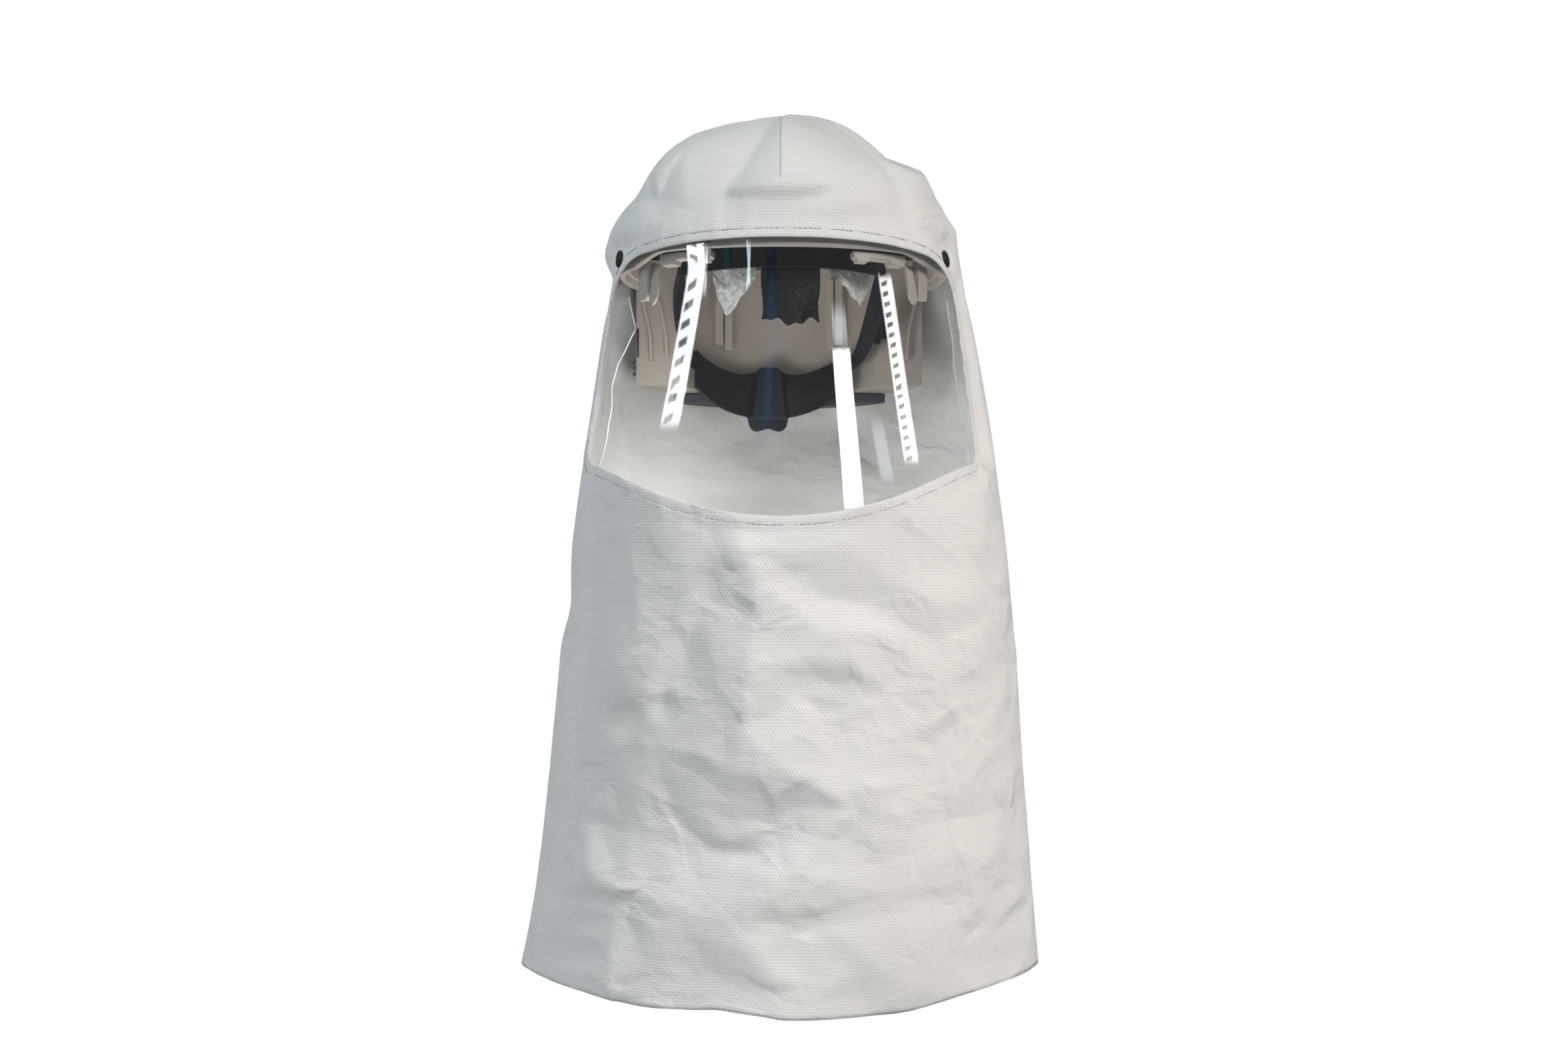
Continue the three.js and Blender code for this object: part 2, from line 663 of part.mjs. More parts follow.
function sidePad() {
  const pad = box(2 * SIDE_PAD.half, SIDE_PAD.depth, SIDE_PAD.height);
  pad.translate(SIDE_PAD.x, HOUSING.front - GAP - SIDE_PAD.depth / 2, SIDE_PAD.z);
  return mesh("side_pad", weld(pad), FINISH.band);
}

// Headband

function browBand() {
  const strip = bandPlate({
    from: -BROW_BAND.end,
    to: BROW_BAND.end,
    low: BROW_BAND.low,
    high: BROW_BAND.high,
    offset: 0,
    wall: BAND.wall,
    columns: 18,
  });
  return mesh("brow_band", strip, FINISH.band);
}

function strapMiddle(angle) {
  const share = smoothstep(Math.abs(angle), STRAP.from, STRAP.to);
  return lerp(STRAP.start, STRAP.end, share);
}

function strapHalf(angle) {
  const share = (Math.abs(angle) - STRAP.from) / (STRAP.to - STRAP.from);
  return lerp(STRAP_HALF.start, STRAP_HALF.end, share);
}

function sideStrap(side) {
  const ends = [side.sign * STRAP.from, side.sign * STRAP.to];
  const strip = bandPlate({
    from: Math.min(...ends),
    to: Math.max(...ends),
    low: (angle) => strapMiddle(angle) - strapHalf(angle),
    high: (angle) => strapMiddle(angle) + strapHalf(angle),
    offset: 0,
    wall: BAND.wall,
    columns: 10,
    rows: 2,
    lean: STRAP.lean,
  });
  return mesh(`side_strap_${side.name}`, strip, FINISH.band);
}

function napeShare(angle) {
  return (2 * (angle - Math.PI)) / (NAPE.to - NAPE.from);
}

function napeBand() {
  const top = (angle) => {
    const s = napeShare(angle);
    const bump = NAPE_TOP.bump * Math.exp(-((s / NAPE_TOP.bumpWidth) ** 2));
    return NAPE_TOP.middle + bump + NAPE_TOP.rise * s ** 2;
  };
  const bottom = (angle) => NAPE_BOTTOM.middle + NAPE_BOTTOM.rise * napeShare(angle) ** 2;
  const strip = bandPlate({
    from: NAPE.from,
    to: NAPE.to,
    low: bottom,
    high: top,
    offset: 0,
    wall: NAPE.wall,
    columns: 18,
  });
  const hole = new THREE.CylinderGeometry(HUB.hole, HUB.hole, HUB.holeLength, 16);
  hole.translate(0, BAND.back, KNOB.z);
  return mesh("nape_band", cut(strip, hole), FINISH.band);
}

function knobCover() {
  const { halfTop, halfFoot, low, high, depth, round, clear } = COVER;
  const shape = new THREE.Shape();
  shape.moveTo(-halfTop * 0.6, high);
  shape.quadraticCurveTo(-halfTop, high, -halfTop, high - round);
  shape.lineTo(-halfFoot, low);
  shape.lineTo(halfFoot, low);
  shape.lineTo(halfTop, high - round);
  shape.quadraticCurveTo(halfTop, high, halfTop * 0.6, high);
  const plate = upright(shape, depth, 4);
  plate.translate(0, BAND.back - NAPE.wall / 2 - depth - clear, 0);
  return mesh("knob_cover", weld(plate), FINISH.knob);
}

function napeKnob() {
  const outline = Array.from({ length: KNOB.points }, (_, i) => {
    const turn = (i / KNOB.points) * 2 * Math.PI;
    const radius = KNOB.radius - KNOB.lobe * Math.cos(KNOB.lobes * turn);
    return new THREE.Vector2(radius * Math.sin(turn), radius * Math.cos(turn));
  }).reverse();
  const grip = upright(new THREE.Shape(outline), KNOB.depth);
  const face = BAND.back + NAPE.wall / 2 + GAP;
  grip.translate(0, face, KNOB.z);
  const hub = new THREE.CylinderGeometry(HUB.radius, HUB.radius, HUB.length, 16);
  hub.translate(0, face + HUB.sunk - HUB.length / 2, KNOB.z);
  return mesh("nape_knob", fuse(grip, hub), FINISH.knob);
}

function comfortFlap() {
  const sheet = bandPlate({
    from: FLAP.from,
    to: FLAP.to,
    low: FLAP.low,
    high: FLAP.high,
    offset: -(BAND.wall + FLAP.wall) / 2 - GAP,
    wall: FLAP.wall,
    columns: 6,
    rows: 3,
  });
  return mesh("comfort_flap", sheet, FINISH.flap);
}

function padFilm({ side, from, to, low, high }) {
  const tip = lerp(from, to, 0.5);
  const lower = (angle) => lerp(low, low * FILM_SIDES, Math.abs(angle - tip) / (tip - from));
  const sheet = bandPlate({
    from,
    to,
    low: lower,
    high,
    offset: -(BAND.wall + FLAP.wall) / 2 - GAP,
    wall: FLAP.wall,
    columns: 6,
    rows: 2,
  });
  return mesh(`pad_film_${side}`, sheet, FINISH.film);
}

// A hook from the end of the brow band out to the rim.
function bandHook(side) {
  const angle = side.sign * HOOK.angle;
  const rim = pointAtHeight(angle, HOOK.high, RIM_INSET + RIM_DEPTH + GAP);
  const outside = BAND.wall / 2 + GAP;
  const turned = angle - BAND_YAW;
  const band = new THREE.Vector3(
    (BAND.half + outside) * Math.sin(turned),
    -(BAND.front + outside) * Math.cos(turned),
    0,
  ).applyAxisAngle(new THREE.Vector3(0, 0, 1), BAND_YAW);
  const run = new THREE.Vector2(rim.x - band.x, rim.y - band.y);
  const length = run.length() - HOOK.rimSlack;
  const middle = run.clone().multiplyScalar((1 - HOOK.rimSlack / run.length()) / 2);
  const bar = box(length, HOOK.wall, HOOK.high - HOOK.low);
  bar.rotateZ(run.angle());
  bar.translate(band.x + middle.x, band.y + middle.y, (HOOK.low + HOOK.high) / 2);
  return mesh(`band_hook_${side.name}`, weld(bar), FINISH.band);
}

// Assembly

const hood = new THREE.Group();
hood.add(hoodCloth(), faceLens(), ...SIDES.map(lensEdge), ...SIDES.map(snap));

const helmet = new THREE.Group();
helmet.add(helmetShell(), browRim(), lensTab(), rearHousing(), housingSeal(), sidePad());
for (const side of SIDES) helmet.add(lensRail(side), lensLug(side), lugPlate(side), bandHook(side));

const headband = new THREE.Group();
headband.rotation.z = BAND_YAW;
headband.add(browBand(), ...SIDES.map(sideStrap), napeBand(), knobCover(), napeKnob());
headband.add(comfortFlap(), ...PAD_FILMS.map(padFilm));

const respiratorHood = new THREE.Group();
respiratorHood.add(hood, helmet, headband);

export default respiratorHood;
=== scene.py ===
"""Looks of a powered air respirator hood: cloth, lens, helmet and headband in a pale studio."""

import math

import bmesh
import bpy
import numpy as np
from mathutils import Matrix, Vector
from mathutils.geometry import delaunay_2d_cdt


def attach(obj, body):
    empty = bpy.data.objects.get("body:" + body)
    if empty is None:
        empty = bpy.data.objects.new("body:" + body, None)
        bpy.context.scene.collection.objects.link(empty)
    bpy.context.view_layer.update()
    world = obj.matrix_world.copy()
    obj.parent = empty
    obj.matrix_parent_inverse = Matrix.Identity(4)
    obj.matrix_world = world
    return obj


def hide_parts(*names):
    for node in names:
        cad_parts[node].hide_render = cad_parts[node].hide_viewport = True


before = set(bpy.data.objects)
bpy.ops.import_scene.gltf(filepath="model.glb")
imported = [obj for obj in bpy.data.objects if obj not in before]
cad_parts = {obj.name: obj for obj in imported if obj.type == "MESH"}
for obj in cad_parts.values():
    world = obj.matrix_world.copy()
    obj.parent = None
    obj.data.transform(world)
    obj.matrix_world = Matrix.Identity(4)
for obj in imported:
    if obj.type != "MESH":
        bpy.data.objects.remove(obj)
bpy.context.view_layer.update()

MM = 0.001
SIDES = (("left", -1), ("right", 1))
chance = np.random.default_rng(5)

# Camera

EYE = (3.75, -1300, -180)  # millimetres, looking level along +Y
FOCAL_LENGTH, FILM_WIDTH = 40.565, 36


def make_camera():
    optics = bpy.data.cameras.new("camera")
    optics.sensor_width = FILM_WIDTH
    optics.lens = FOCAL_LENGTH
    optics.clip_start = 0.05
    camera = bpy.data.objects.new("camera", optics)
    camera.location = Vector(EYE) * MM
    camera.rotation_euler = (math.pi / 2, 0, 0)
    bpy.context.scene.collection.objects.link(camera)
    bpy.context.scene.camera = camera


make_camera()

# Sizes of the hood, in millimetres and degrees

SECTION_COLUMNS = ("z", "half", "front", "back", "shift", "square")
SECTIONS = np.array([
    (-502, 190, 154, 156, 0, 1.65),
    (-440, 180.3, 152, 151, 3, 1.75),
    (-340, 169.5, 149, 147, 3.6, 1.9),
    (-240, 158.8, 147, 145, 3.6, 2.05),
    (-160, 149.4, 145, 145, 1.8, 2.2),
    (-90, 138.5, 139, 145, 2.6, 2.2),
    (-40, 131, 133, 144, 3.2, 2.2),
    (0, 124.5, 126, 142, 3, 2.2),
    (28, 120, 121, 138, 1, 2.2),
    (50, 113, 113, 131, 0.5, 2.2),
    (72, 98, 99, 118, 0.5, 2.2),
    (92, 71.5, 75, 95, 3, 2.1),
    (107, 43, 47, 63, 9, 2),
    (115.5, 18, 20, 28, 15, 2),
    (118, 0, 0, 0, 18, 2),
])
CROWN = len(SECTIONS) - 1
HEM = SECTIONS[0, 0]

FOLD_RADIUS = 150
# Broad folds: angle from the front, height, lean, length, width, push.
FOLDS = (
    (97, -165, 0, 190, 85, 12),
    (0, 44, 90, 26, 9, 3),
    (-92, 16, 0, 15, 30, 7),
    (-90, -13, 0, 15, 34, -4),
    (86, 40, -20, 17, 26, 5),
    (70, 82, 0, 14, 44, -3),
    (-78, -232, 60, 34, 17, -5),
    (-142, -380, 4, 130, 26, 8),
    (148, -390, -4, 120, 28, 8),
    (178, -340, 0, 130, 34, -8),
    (180, -150, 90, 70, 30, -4),
)
# Crease lines, each a run of points: angle, height, push. Flat facets span the cloth between them.
# The skirt's pushes were fitted to the light and dark beside its lines, the crown's given one by one.
CREASE_LINES = (
    ((-42.5, -192, -0.1), (-40.5, -226, 0.7), (-37.5, -256, 3.5), (-37, -282, 4.5), (-33.5, -311, -0.3),
     (-32, -326, 1.2), (-22.5, -329, 2.9), (-16, -351, 1.6), (-13.5, -357, 1.3)),
    ((-77.5, -226, -0.3), (-55, -211, 0.1), (-45.5, -218, -1.9)),
    ((-75, -235, -3.5), (-56.5, -225, -3.7), (-44, -225, -1.7)),
    ((-61, -280, 0.3), (-43, -274, 3.8)),
    ((-62, -288, 0.3), (-48.5, -290, 1.4), (-39.5, -286, 4.5)),
    ((-54.5, -376, 1.1), (-56, -394, 1.5), (-63, -412, 0.9), (-75.5, -428, -2.5)),
    ((-54.5, -376, 1.1), (-39, -373, -1.7)),
    ((-53, -382, -0.6), (-40, -389, -3.2)),
    ((-46.5, -419, 6.9), (-36, -422, 4.9)),
    ((-38, -378, -3.5), (-28.5, -374, -8.5), (-25, -385, -8.5), (-19, -396, -8.5), (-12.5, -397, -8.5),
     (-5.5, -395, -6.1), (2.5, -387, -3.1), (15, -366, 3.5)),
    ((-13.5, -357, 1.3), (-11.5, -376, -2.9), (-5.5, -395, -6.1)),
    ((-36, -422, 4.9), (-31.5, -417, 0.4), (-19, -407, -4.8), (-8, -412, 0.6), (2, -410, 2), (8.5, -390, 1),
     (15, -366, 3.5)),
    ((-11.5, -343, 6.8), (0, -341, 8.5), (6, -348, 7.5), (10.5, -356, 7), (15, -366, 3.5)),
    ((-13.5, -357, 1.3), (0, -366, -1.2), (10, -366, 1.1), (15, -366, 3.5)),
    ((-10.5, -324, 8.5), (-3, -333, 8.5), (6, -318, 3.9)),
    ((-5, -215, 8.5), (-6.5, -248, 6.8), (-8, -281, 8.2), (-9.5, -315, 8.5), (-10.5, -324, 8.5)),
    ((-2, -203, 5.2), (2, -197, 4.1), (11, -197, 3), (19.5, -208, -0.2), (32.5, -232, 1.2)),
    ((-5, -215, 8.5), (2, -218, 0.1), (9, -229, -3), (19.5, -233, -5.5), (32.5, -232, 1.2)),
    ((2, -237, 5.7), (10, -255, 4.3), (20.5, -264, 1.3), (22.5, -250, -1.4), (28.5, -244, -0.7)),
    ((2, -274, 4.3), (7.5, -270, 3.8), (16.5, -274, 2.5), (23, -280, 1.4)),
    ((-8, -283, 8), (2, -283, 2.5), (7.5, -282, 0.2), (15.5, -285, -2.1), (27, -287, -0.7)),
    ((28.5, -296, -0.5), (36.5, -284, 1), (40.5, -266, 2.1)),
    ((3.5, -288, 0.9), (8.5, -302, -0.8), (6, -318, 3.9)),
    ((-28.5, -198, -1.3), (-17.5, -195, 0.8), (-8, -200, 8.5)),
    ((-29.5, -209, -0.5), (-17, -211, 1.3), (-7.5, -220, 6)),
    ((-36, -225, 2), (-28.5, -217, 0.5), (-21, -222, 1)),
    ((-26, -244, 2.7), (-19.5, -244, -1), (-17, -228, -0.3)),
    ((-33, -276, 3.5), (-24.5, -272, -2.6), (-17.5, -279, 2.9)),
    ((-35, -291, 2.1), (-29.5, -287, -2.4), (-30, -304, -2.3), (-26, -316, 1.4)),
    ((-24.5, -303, 0.4), (-17.5, -300, 3.9), (-16.5, -318, 5)),
    ((-59, -432, 2.3), (-48, -422, 7), (-39, -427, 7)),
    ((-60, -442, 0.9), (-46.5, -434, 4.3), (-38.5, -435, 5.4)),
    ((-60, -447, 0.3), (-47.5, -440, 5.5), (-40, -444, 5.8)),
    ((-60, -462, 2), (-48, -452, 3.5), (-40, -453, 5.4)),
    ((-62, -470, 1.1), (-50, -462, 5.2), (-40.5, -463, 6.3)),
    ((-62, -486, -0.9), (-49.5, -476, 2.3), (-40, -476, 6.8)),
    ((-63, -495, 0.8), (-50, -489, 5), (-39.5, -487, 8)),
    ((-36, -422, 4.9), (-38.5, -435, 8.5), (-39.5, -455, 5.3), (-39.5, -479, 6.9), (-38.5, -496, 8.5)),
    ((-34, -430, 3.8), (-27.5, -427, 3.9), (-22, -432, 1.1)),
    ((-33, -443, 3.2), (-26.5, -440, 1.3), (-20, -445, 1.9)),
    ((-33, -452, 2.3), (-25.5, -450, 0.7), (-18, -453, 2.1), (-10, -450, 1.8)),
    ((-34.5, -472, 3.9), (-26, -470, -0.5), (-19, -470, -2.5)),
    ((-31.5, -481, 2.7), (-22.5, -480, -2.5)),
    ((-10, -432, 3), (-4, -430, 1.9), (5, -429, 1), (11, -438, -0.3), (15.5, -450, 2)),
    ((-5.5, -439, -0.7), (5, -448, -3.7), (8.5, -460, -1.6), (10.5, -472, -1.4)),
    ((-8, -463, 1.5), (-3, -476, 0.3), (5, -479, -0.8), (10.5, -472, -1.4)),
    ((7, -443, -3.1), (13, -459, -1.4), (17, -470, -0.3)),
    ((-36.5, -493, 6.2), (-26, -487, -1.7), (-15, -485, -4), (-7, -488, -3.6)),
    ((15.5, -450, 2), (20, -462, 2.9), (28.5, -470, 4.2), (34.5, -462, 1.6), (45.5, -458, 0.2),
     (68, -465, -3.2)),
    ((19, -440, 0.8), (29, -438, 2.2), (37, -433, 2)),
    ((18.5, -423, 1.8), (24, -429, 2.3)),
    ((8, -474, -1.9), (18.5, -472, 0.5), (27.5, -477, 4.2)),
    ((10, -488, -0.7), (21, -489, -1.8), (29.5, -487, 3.6)),
    ((12, -408, 1.2), (25, -400, 2.5), (39, -387, 0.4), (64.5, -369, 0.2)),
    ((15.5, -385, 2.9), (28.5, -379, 0.3), (47, -357, 0.2)),
    ((17, -356, 2.4), (24.5, -344, -0.9), (39.5, -334, 0.3)),
    ((16, -302, -1.8), (22.5, -318, -1.8), (25.5, -345, -0.9)),
    ((42, -274, 1.4), (53, -262, 0.8), (66, -231, 0)),
    ((47, -288, -0.5), (61.5, -280, 0), (83.5, -256, -1.4)),
    ((54.5, -322, 0.4), (69.5, -309, 0.1)),
    ((36.5, -216, 0.6), (52.5, -206, 0)),
    ((40, -237, 3.2), (55, -225, 1.7)),
    ((-8, 84, -1.5), (-12, 62, -4), (-17, 48, -4.2), (-28.5, 32, -3.6)),
    ((1, 100, 3), (1, 76, 4.5), (0.5, 58, 4.5)),
    ((16, 48, 4.5), (21.5, 35, 3), (28.5, 23, -3.5), (46, 28, -4.2), (80, 44, -4)),
    ((55, 29, 6), (77.5, 27, 6.5), (81, 13, 4)),
    ((-81, 28, 5), (-61.5, 20, 6), (-50.5, 12, 3.5)),
    ((34.5, 88, -3.5), (46, 82, -4.2), (70, 82, -2.1)),
    ((-96, 80, -4.2), (-79.5, 79, -4.2), (-62, 68, 0), (-48, 58, 3)),
    ((-96, 103, 6), (-84, 102, 7), (-62, 93, 5.5), (-40, 80, 4)),
    ((-100, 62, -4), (-86, 60, -4.2), (-66, 50, -4), (-45, 44, -3)),
    ((98, 74, 5), (86, 72, 6), (62, 62, 4)),
    ((98, 90, -3), (84, 90, -3), (66, 96, -2.5)),
)

WINDOW_REACH = 71
WINDOW_TOP = dict(middle=10.5, droop=11, corner=20, corner_start=0.72)
WINDOW_BOTTOM = dict(middle=-175, rise=37, corner=18, corner_start=0.9)
WINDOW_RADIUS = 137  # for unrolling the cloth round the window
CLOTH_WALL = 1.2
LENS_INSET, LENS_WALL, LENS_REACH, LENS_LAP = 1.9, 1.0, 75, 10
SNAP_ANGLE, SNAP_Z = 66.5, 6
STITCH_OFFSET, STITCH_PITCH, STITCH_LENGTH = 6.2, 3.4, 2.3


def smoothstep(value, low, high):
    t = np.clip((value - low) / (high - low), 0, 1)
    return t * t * (3 - 2 * t)


def lerp(a, b, t):
    return a + (b - a) * t


def runs_along(points, axis=0):
    """Distances run along rows of points."""
    steps = np.linalg.norm(np.diff(points, axis=axis), axis=-1)
    return np.insert(np.cumsum(steps, axis), 0, 0, axis)


def section(column, v):
    """A smooth value of one column of the sections, v counting sections from the hem."""
    values = SECTIONS[:, SECTION_COLUMNS.index(column)]
    v = np.asarray(v, float)
    i = np.minimum(v.astype(int), CROWN - 1)
    t = v - i
    before, start, end, after = (values[np.clip(i + k, 0, CROWN)] for k in (-1, 0, 1, 2))
    slope = (end - before) * t
    bend = (2 * before - 5 * start + 4 * end - after) * t**2
    twist = (3 * start - before - 3 * end + after) * t**3
    return (2 * start + slope + bend + twist) / 2


def squared(value, roundness):
    return np.sign(value) * np.abs(value) ** (2 / roundness)


def hood_point(angle, v):
    """A point of the hood's plain surface; the angle is in degrees from the front, towards +X."""
    turn = np.radians(angle)
    square = section("square", v)
    side = section("half", v) * squared(np.sin(turn), square)
    depth = np.where(np.cos(turn) > 0, section("front", v), section("back", v))
    ahead = depth * squared(np.cos(turn), square)
    return np.stack(np.broadcast_arrays(section("shift", v) + side, -ahead, section("z", v)), -1)


def hood_normal(angle, v):
    v = np.minimum(v, CROWN - 0.02)
    around = hood_point(angle + 0.05, v) - hood_point(angle - 0.05, v)
    up = hood_point(angle, v + 0.001) - hood_point(angle, np.maximum(v - 0.001, 0))
    normal = np.cross(around, up)
    return normal / np.linalg.norm(normal, axis=-1, keepdims=True)


LEVELS = np.linspace(0, CROWN, 5601)
LEVEL_HEIGHTS = section("z", LEVELS)
LEVEL_RUNS = runs_along(hood_point(20, LEVELS))


def level_at(z):
    return np.interp(z, LEVEL_HEIGHTS, LEVELS)


def on_hood(angle, z, inset=0.0):
    """A point at this height, inset from the hood's plain surface."""
    angle, z, inset = np.broadcast_arrays(np.asarray(angle, float), np.asarray(z, float), inset)
    v = level_at(z)
    return hood_point(angle, v) - hood_normal(angle, v) * inset[..., None]


def corner_drop(share, start):
    q = np.clip((share - start) / (1 - start), 0, 1)
    return 1 - np.sqrt(1 - q**2)


def window_top(angle, reach=WINDOW_REACH):
    share = np.minimum(np.abs(angle) / reach, 1)
    w = WINDOW_TOP
    return w["middle"] - w["droop"] * share**2 - w["corner"] * corner_drop(share, w["corner_start"])


def window_bottom(angle, reach=WINDOW_REACH):
    share = np.minimum(np.abs(angle) / reach, 1)
    w = WINDOW_BOTTOM
    swept = w["rise"] * (1 - np.cos(np.pi * share)) / 2
    return w["middle"] + swept + w["corner"] * corner_drop(share, w["corner_start"])


def window_outline():
    """The window's edge, as points of angle and height in the order they are met going round."""
    run = WINDOW_REACH * np.sin(np.linspace(-np.pi / 2, np.pi / 2, 181))
    side = np.linspace(0, 1, 31)[1:-1]
    low, high = window_bottom(WINDOW_REACH), window_top(WINDOW_REACH)
    lower = np.stack([run, window_bottom(run)], 1)
    right = np.stack([np.full(side.shape, WINDOW_REACH), lerp(low, high, side)], 1)
    upper = np.stack([run, window_top(run)], 1)[::-1]
    left = np.stack([np.full(side.shape, -WINDOW_REACH), lerp(high, low, side)], 1)
    return np.concatenate([lower, right, upper, left])


WINDOW_FLAT = window_outline() * (np.radians(WINDOW_RADIUS), 1)  # unrolled, in millimetres


def window_distance(angle, z):
    """Distance from the window's edge, along the unrolled cloth."""
    spot = np.stack([np.radians(angle) * WINDOW_RADIUS, z], -1)
    nearest = np.full(spot.shape[:-1], 1e9)
    for point in WINDOW_FLAT:
        nearest = np.minimum(nearest, np.hypot(spot[..., 0] - point[0], spot[..., 1] - point[1]))
    return nearest


# Shader values


class Value:
    """A shader socket that takes part in sums."""

    def __init__(self, paint, socket):
        self.paint, self.socket = paint, socket

    def sum(self, operation, *others):
        return self.paint.sum(operation, self, *others)

    def __add__(self, other):
        return self.sum("ADD", other)

    def __sub__(self, other):
        return self.sum("SUBTRACT", other)

    def __mul__(self, other):
        return self.sum("MULTIPLY", other)

    def __truediv__(self, other):
        return self.sum("DIVIDE", other)

    def __pow__(self, other):
        return self.sum("POWER", other)

    def __rsub__(self, other):
        return self.paint.sum("SUBTRACT", other, self)

    __radd__, __rmul__ = __add__, __mul__

    def fraction(self):
        return self.sum("FRACT")

    def whole(self):
        return self.sum("FLOOR")

    def size(self):
        return self.sum("ABSOLUTE")

    def root(self):
        return self.sum("SQRT")

    def wave(self):
        return self.sum("SINE")

    def least(self, other):
        return self.sum("MINIMUM", other)

    def most(self, other):
        return self.sum("MAXIMUM", other)

    def ramp(self, low, high):
        """0 below low, 1 above high and a smooth step between; turned round if low is above high."""
        if low > high:
            return 1 - self.ramp(high, low)
        inputs = {"Value": self, "From Min": low, "From Max": high}
        return self.paint.add("MapRange", inputs, interpolation_type="SMOOTHSTEP")


class Paint:
    """A finish, built from shader nodes."""

    def __init__(self, name):
        self.material = bpy.data.materials.new(name)
        self.material.use_nodes = True
        self.tree = self.material.node_tree
        self.tree.nodes.clear()

    def feed(self, socket, value):
        if isinstance(value, Value):
            self.tree.links.new(value.socket, socket)
        elif hasattr(value, "__len__") and socket.type == "RGBA" and len(value) == 3:
            socket.default_value = (*value, 1)
        else:
            socket.default_value = value

    def add(self, kind, inputs, output=0, **settings):
        """A node with its settings, then its inputs. One of its outputs comes back."""
        node = self.tree.nodes.new("ShaderNode" + kind)
        for name, value in settings.items():
            setattr(node, name, value)
        for name, value in inputs.items():
            self.feed(node.inputs[name], value)
        return Value(self, node.outputs[output]) if node.outputs else None

    def sum(self, operation, *values):
        return self.add("Math", dict(enumerate(values)), operation=operation)

    def mix(self, share, first, second):
        inputs = {0: share, 6: first, 7: second}
        return self.add("Mix", inputs, 2, data_type="RGBA")

    def place(self):
        """Where the surface is, in metres."""
        return self.add("TexCoord", {}, "Object")

    def split(self, place):
        """The three parts of a place, in millimetres."""
        return [self.add("SeparateXYZ", {"Vector": place}, axis) / MM for axis in "XYZ"]

    def noise(self, size, detail=3.0, where=None, rough=0.55, warp=0.0):
        """Noise from 0 to 1 with grains of this size, in millimetres."""
        where = where or self.place()
        inputs = {"Vector": where, "Scale": 1 / (size * MM), "Detail": detail}
        inputs.update({"Roughness": rough, "Distortion": warp})
        return self.add("TexNoise", inputs, "Fac")

    def vector(self, operation, *values):
        return self.add("VectorMath", dict(enumerate(values)), operation=operation)

    def unrolled(self):
        """Where the surface is on the flat cloth, in metres."""
        return self.add("UVMap", {}, uv_map="unrolled")

    def bent(self, size, bend, stretch):
        """Places on the flat cloth, bent about by noise of this size and stretched."""
        place = self.unrolled()
        wander = self.add("TexNoise", {"Vector": place, "Scale": 1 / (size * MM), "Detail": 2.0}, "Color")
        aside = self.vector("MULTIPLY", self.vector("SUBTRACT", wander, (0.5, 0.5, 0.5)), [bend * MM] * 3)
        return self.vector("MULTIPLY", self.vector("ADD", place, aside), stretch)

    def roofs(self, where, size):
        """Height of roof-like facets with crisp ridges and valleys, from 0, in millimetres."""
        cell = {"Vector": where, "Scale": 1 / (size * MM)}
        settings = {"feature": "DISTANCE_TO_EDGE", "voronoi_dimensions": "2D"}
        return self.add("TexVoronoi", cell, "Distance", **settings) * size

    def stretched(self, x, y, z):
        return self.vector("MULTIPLY", self.place(), (x, y, z))

    def across(self):
        """Distances along the flat cloth, in millimetres, to the right and upwards."""
        return self.split(self.unrolled())[:2]

    def bump(self, height, depth):
        """A normal from a height of 0 to 1, this many millimetres deep."""
        return self.add("Bump", {"Height": height, "Distance": depth * MM, "Strength": 1.0})

    def surface(self, base, roughness, normal=None, **others):
        inputs = {"Base Color": base, "Roughness": roughness}
        inputs.update({name.replace("_", " "): value for name, value in others.items()})
        if normal:
            inputs["Normal"] = normal
        return self.add("BsdfPrincipled", inputs)

    def finish(self, shader):
        self.add("OutputMaterial", {"Surface": shader})
        return self.material

    def sheer(self, cover, tint, body):
        """A see-through finish of this tint, which the body covers by a share."""
        clear = self.add("BsdfTransparent", {"Color": tint})
        return self.finish(self.add("MixShader", {0: cover, 1: clear, 2: body}))


# Finishes


DIMPLE_PITCH, DIMPLE_ROW = 2.3, 1.95
SEAM_X, SEAM_FOOT = 1.0, 49
# Crinkles of the cloth: the sizes of two nets of facets, their depth, the size of the patches where they
# show, and the ends of the patches' edges.
CRINKLES = ((74, 57, 0.075, 90, -1, 0), (41, 31, 0.075, 90, 0.35, 0.6), (23, 17, 0.078, 60, 0.42, 0.62))


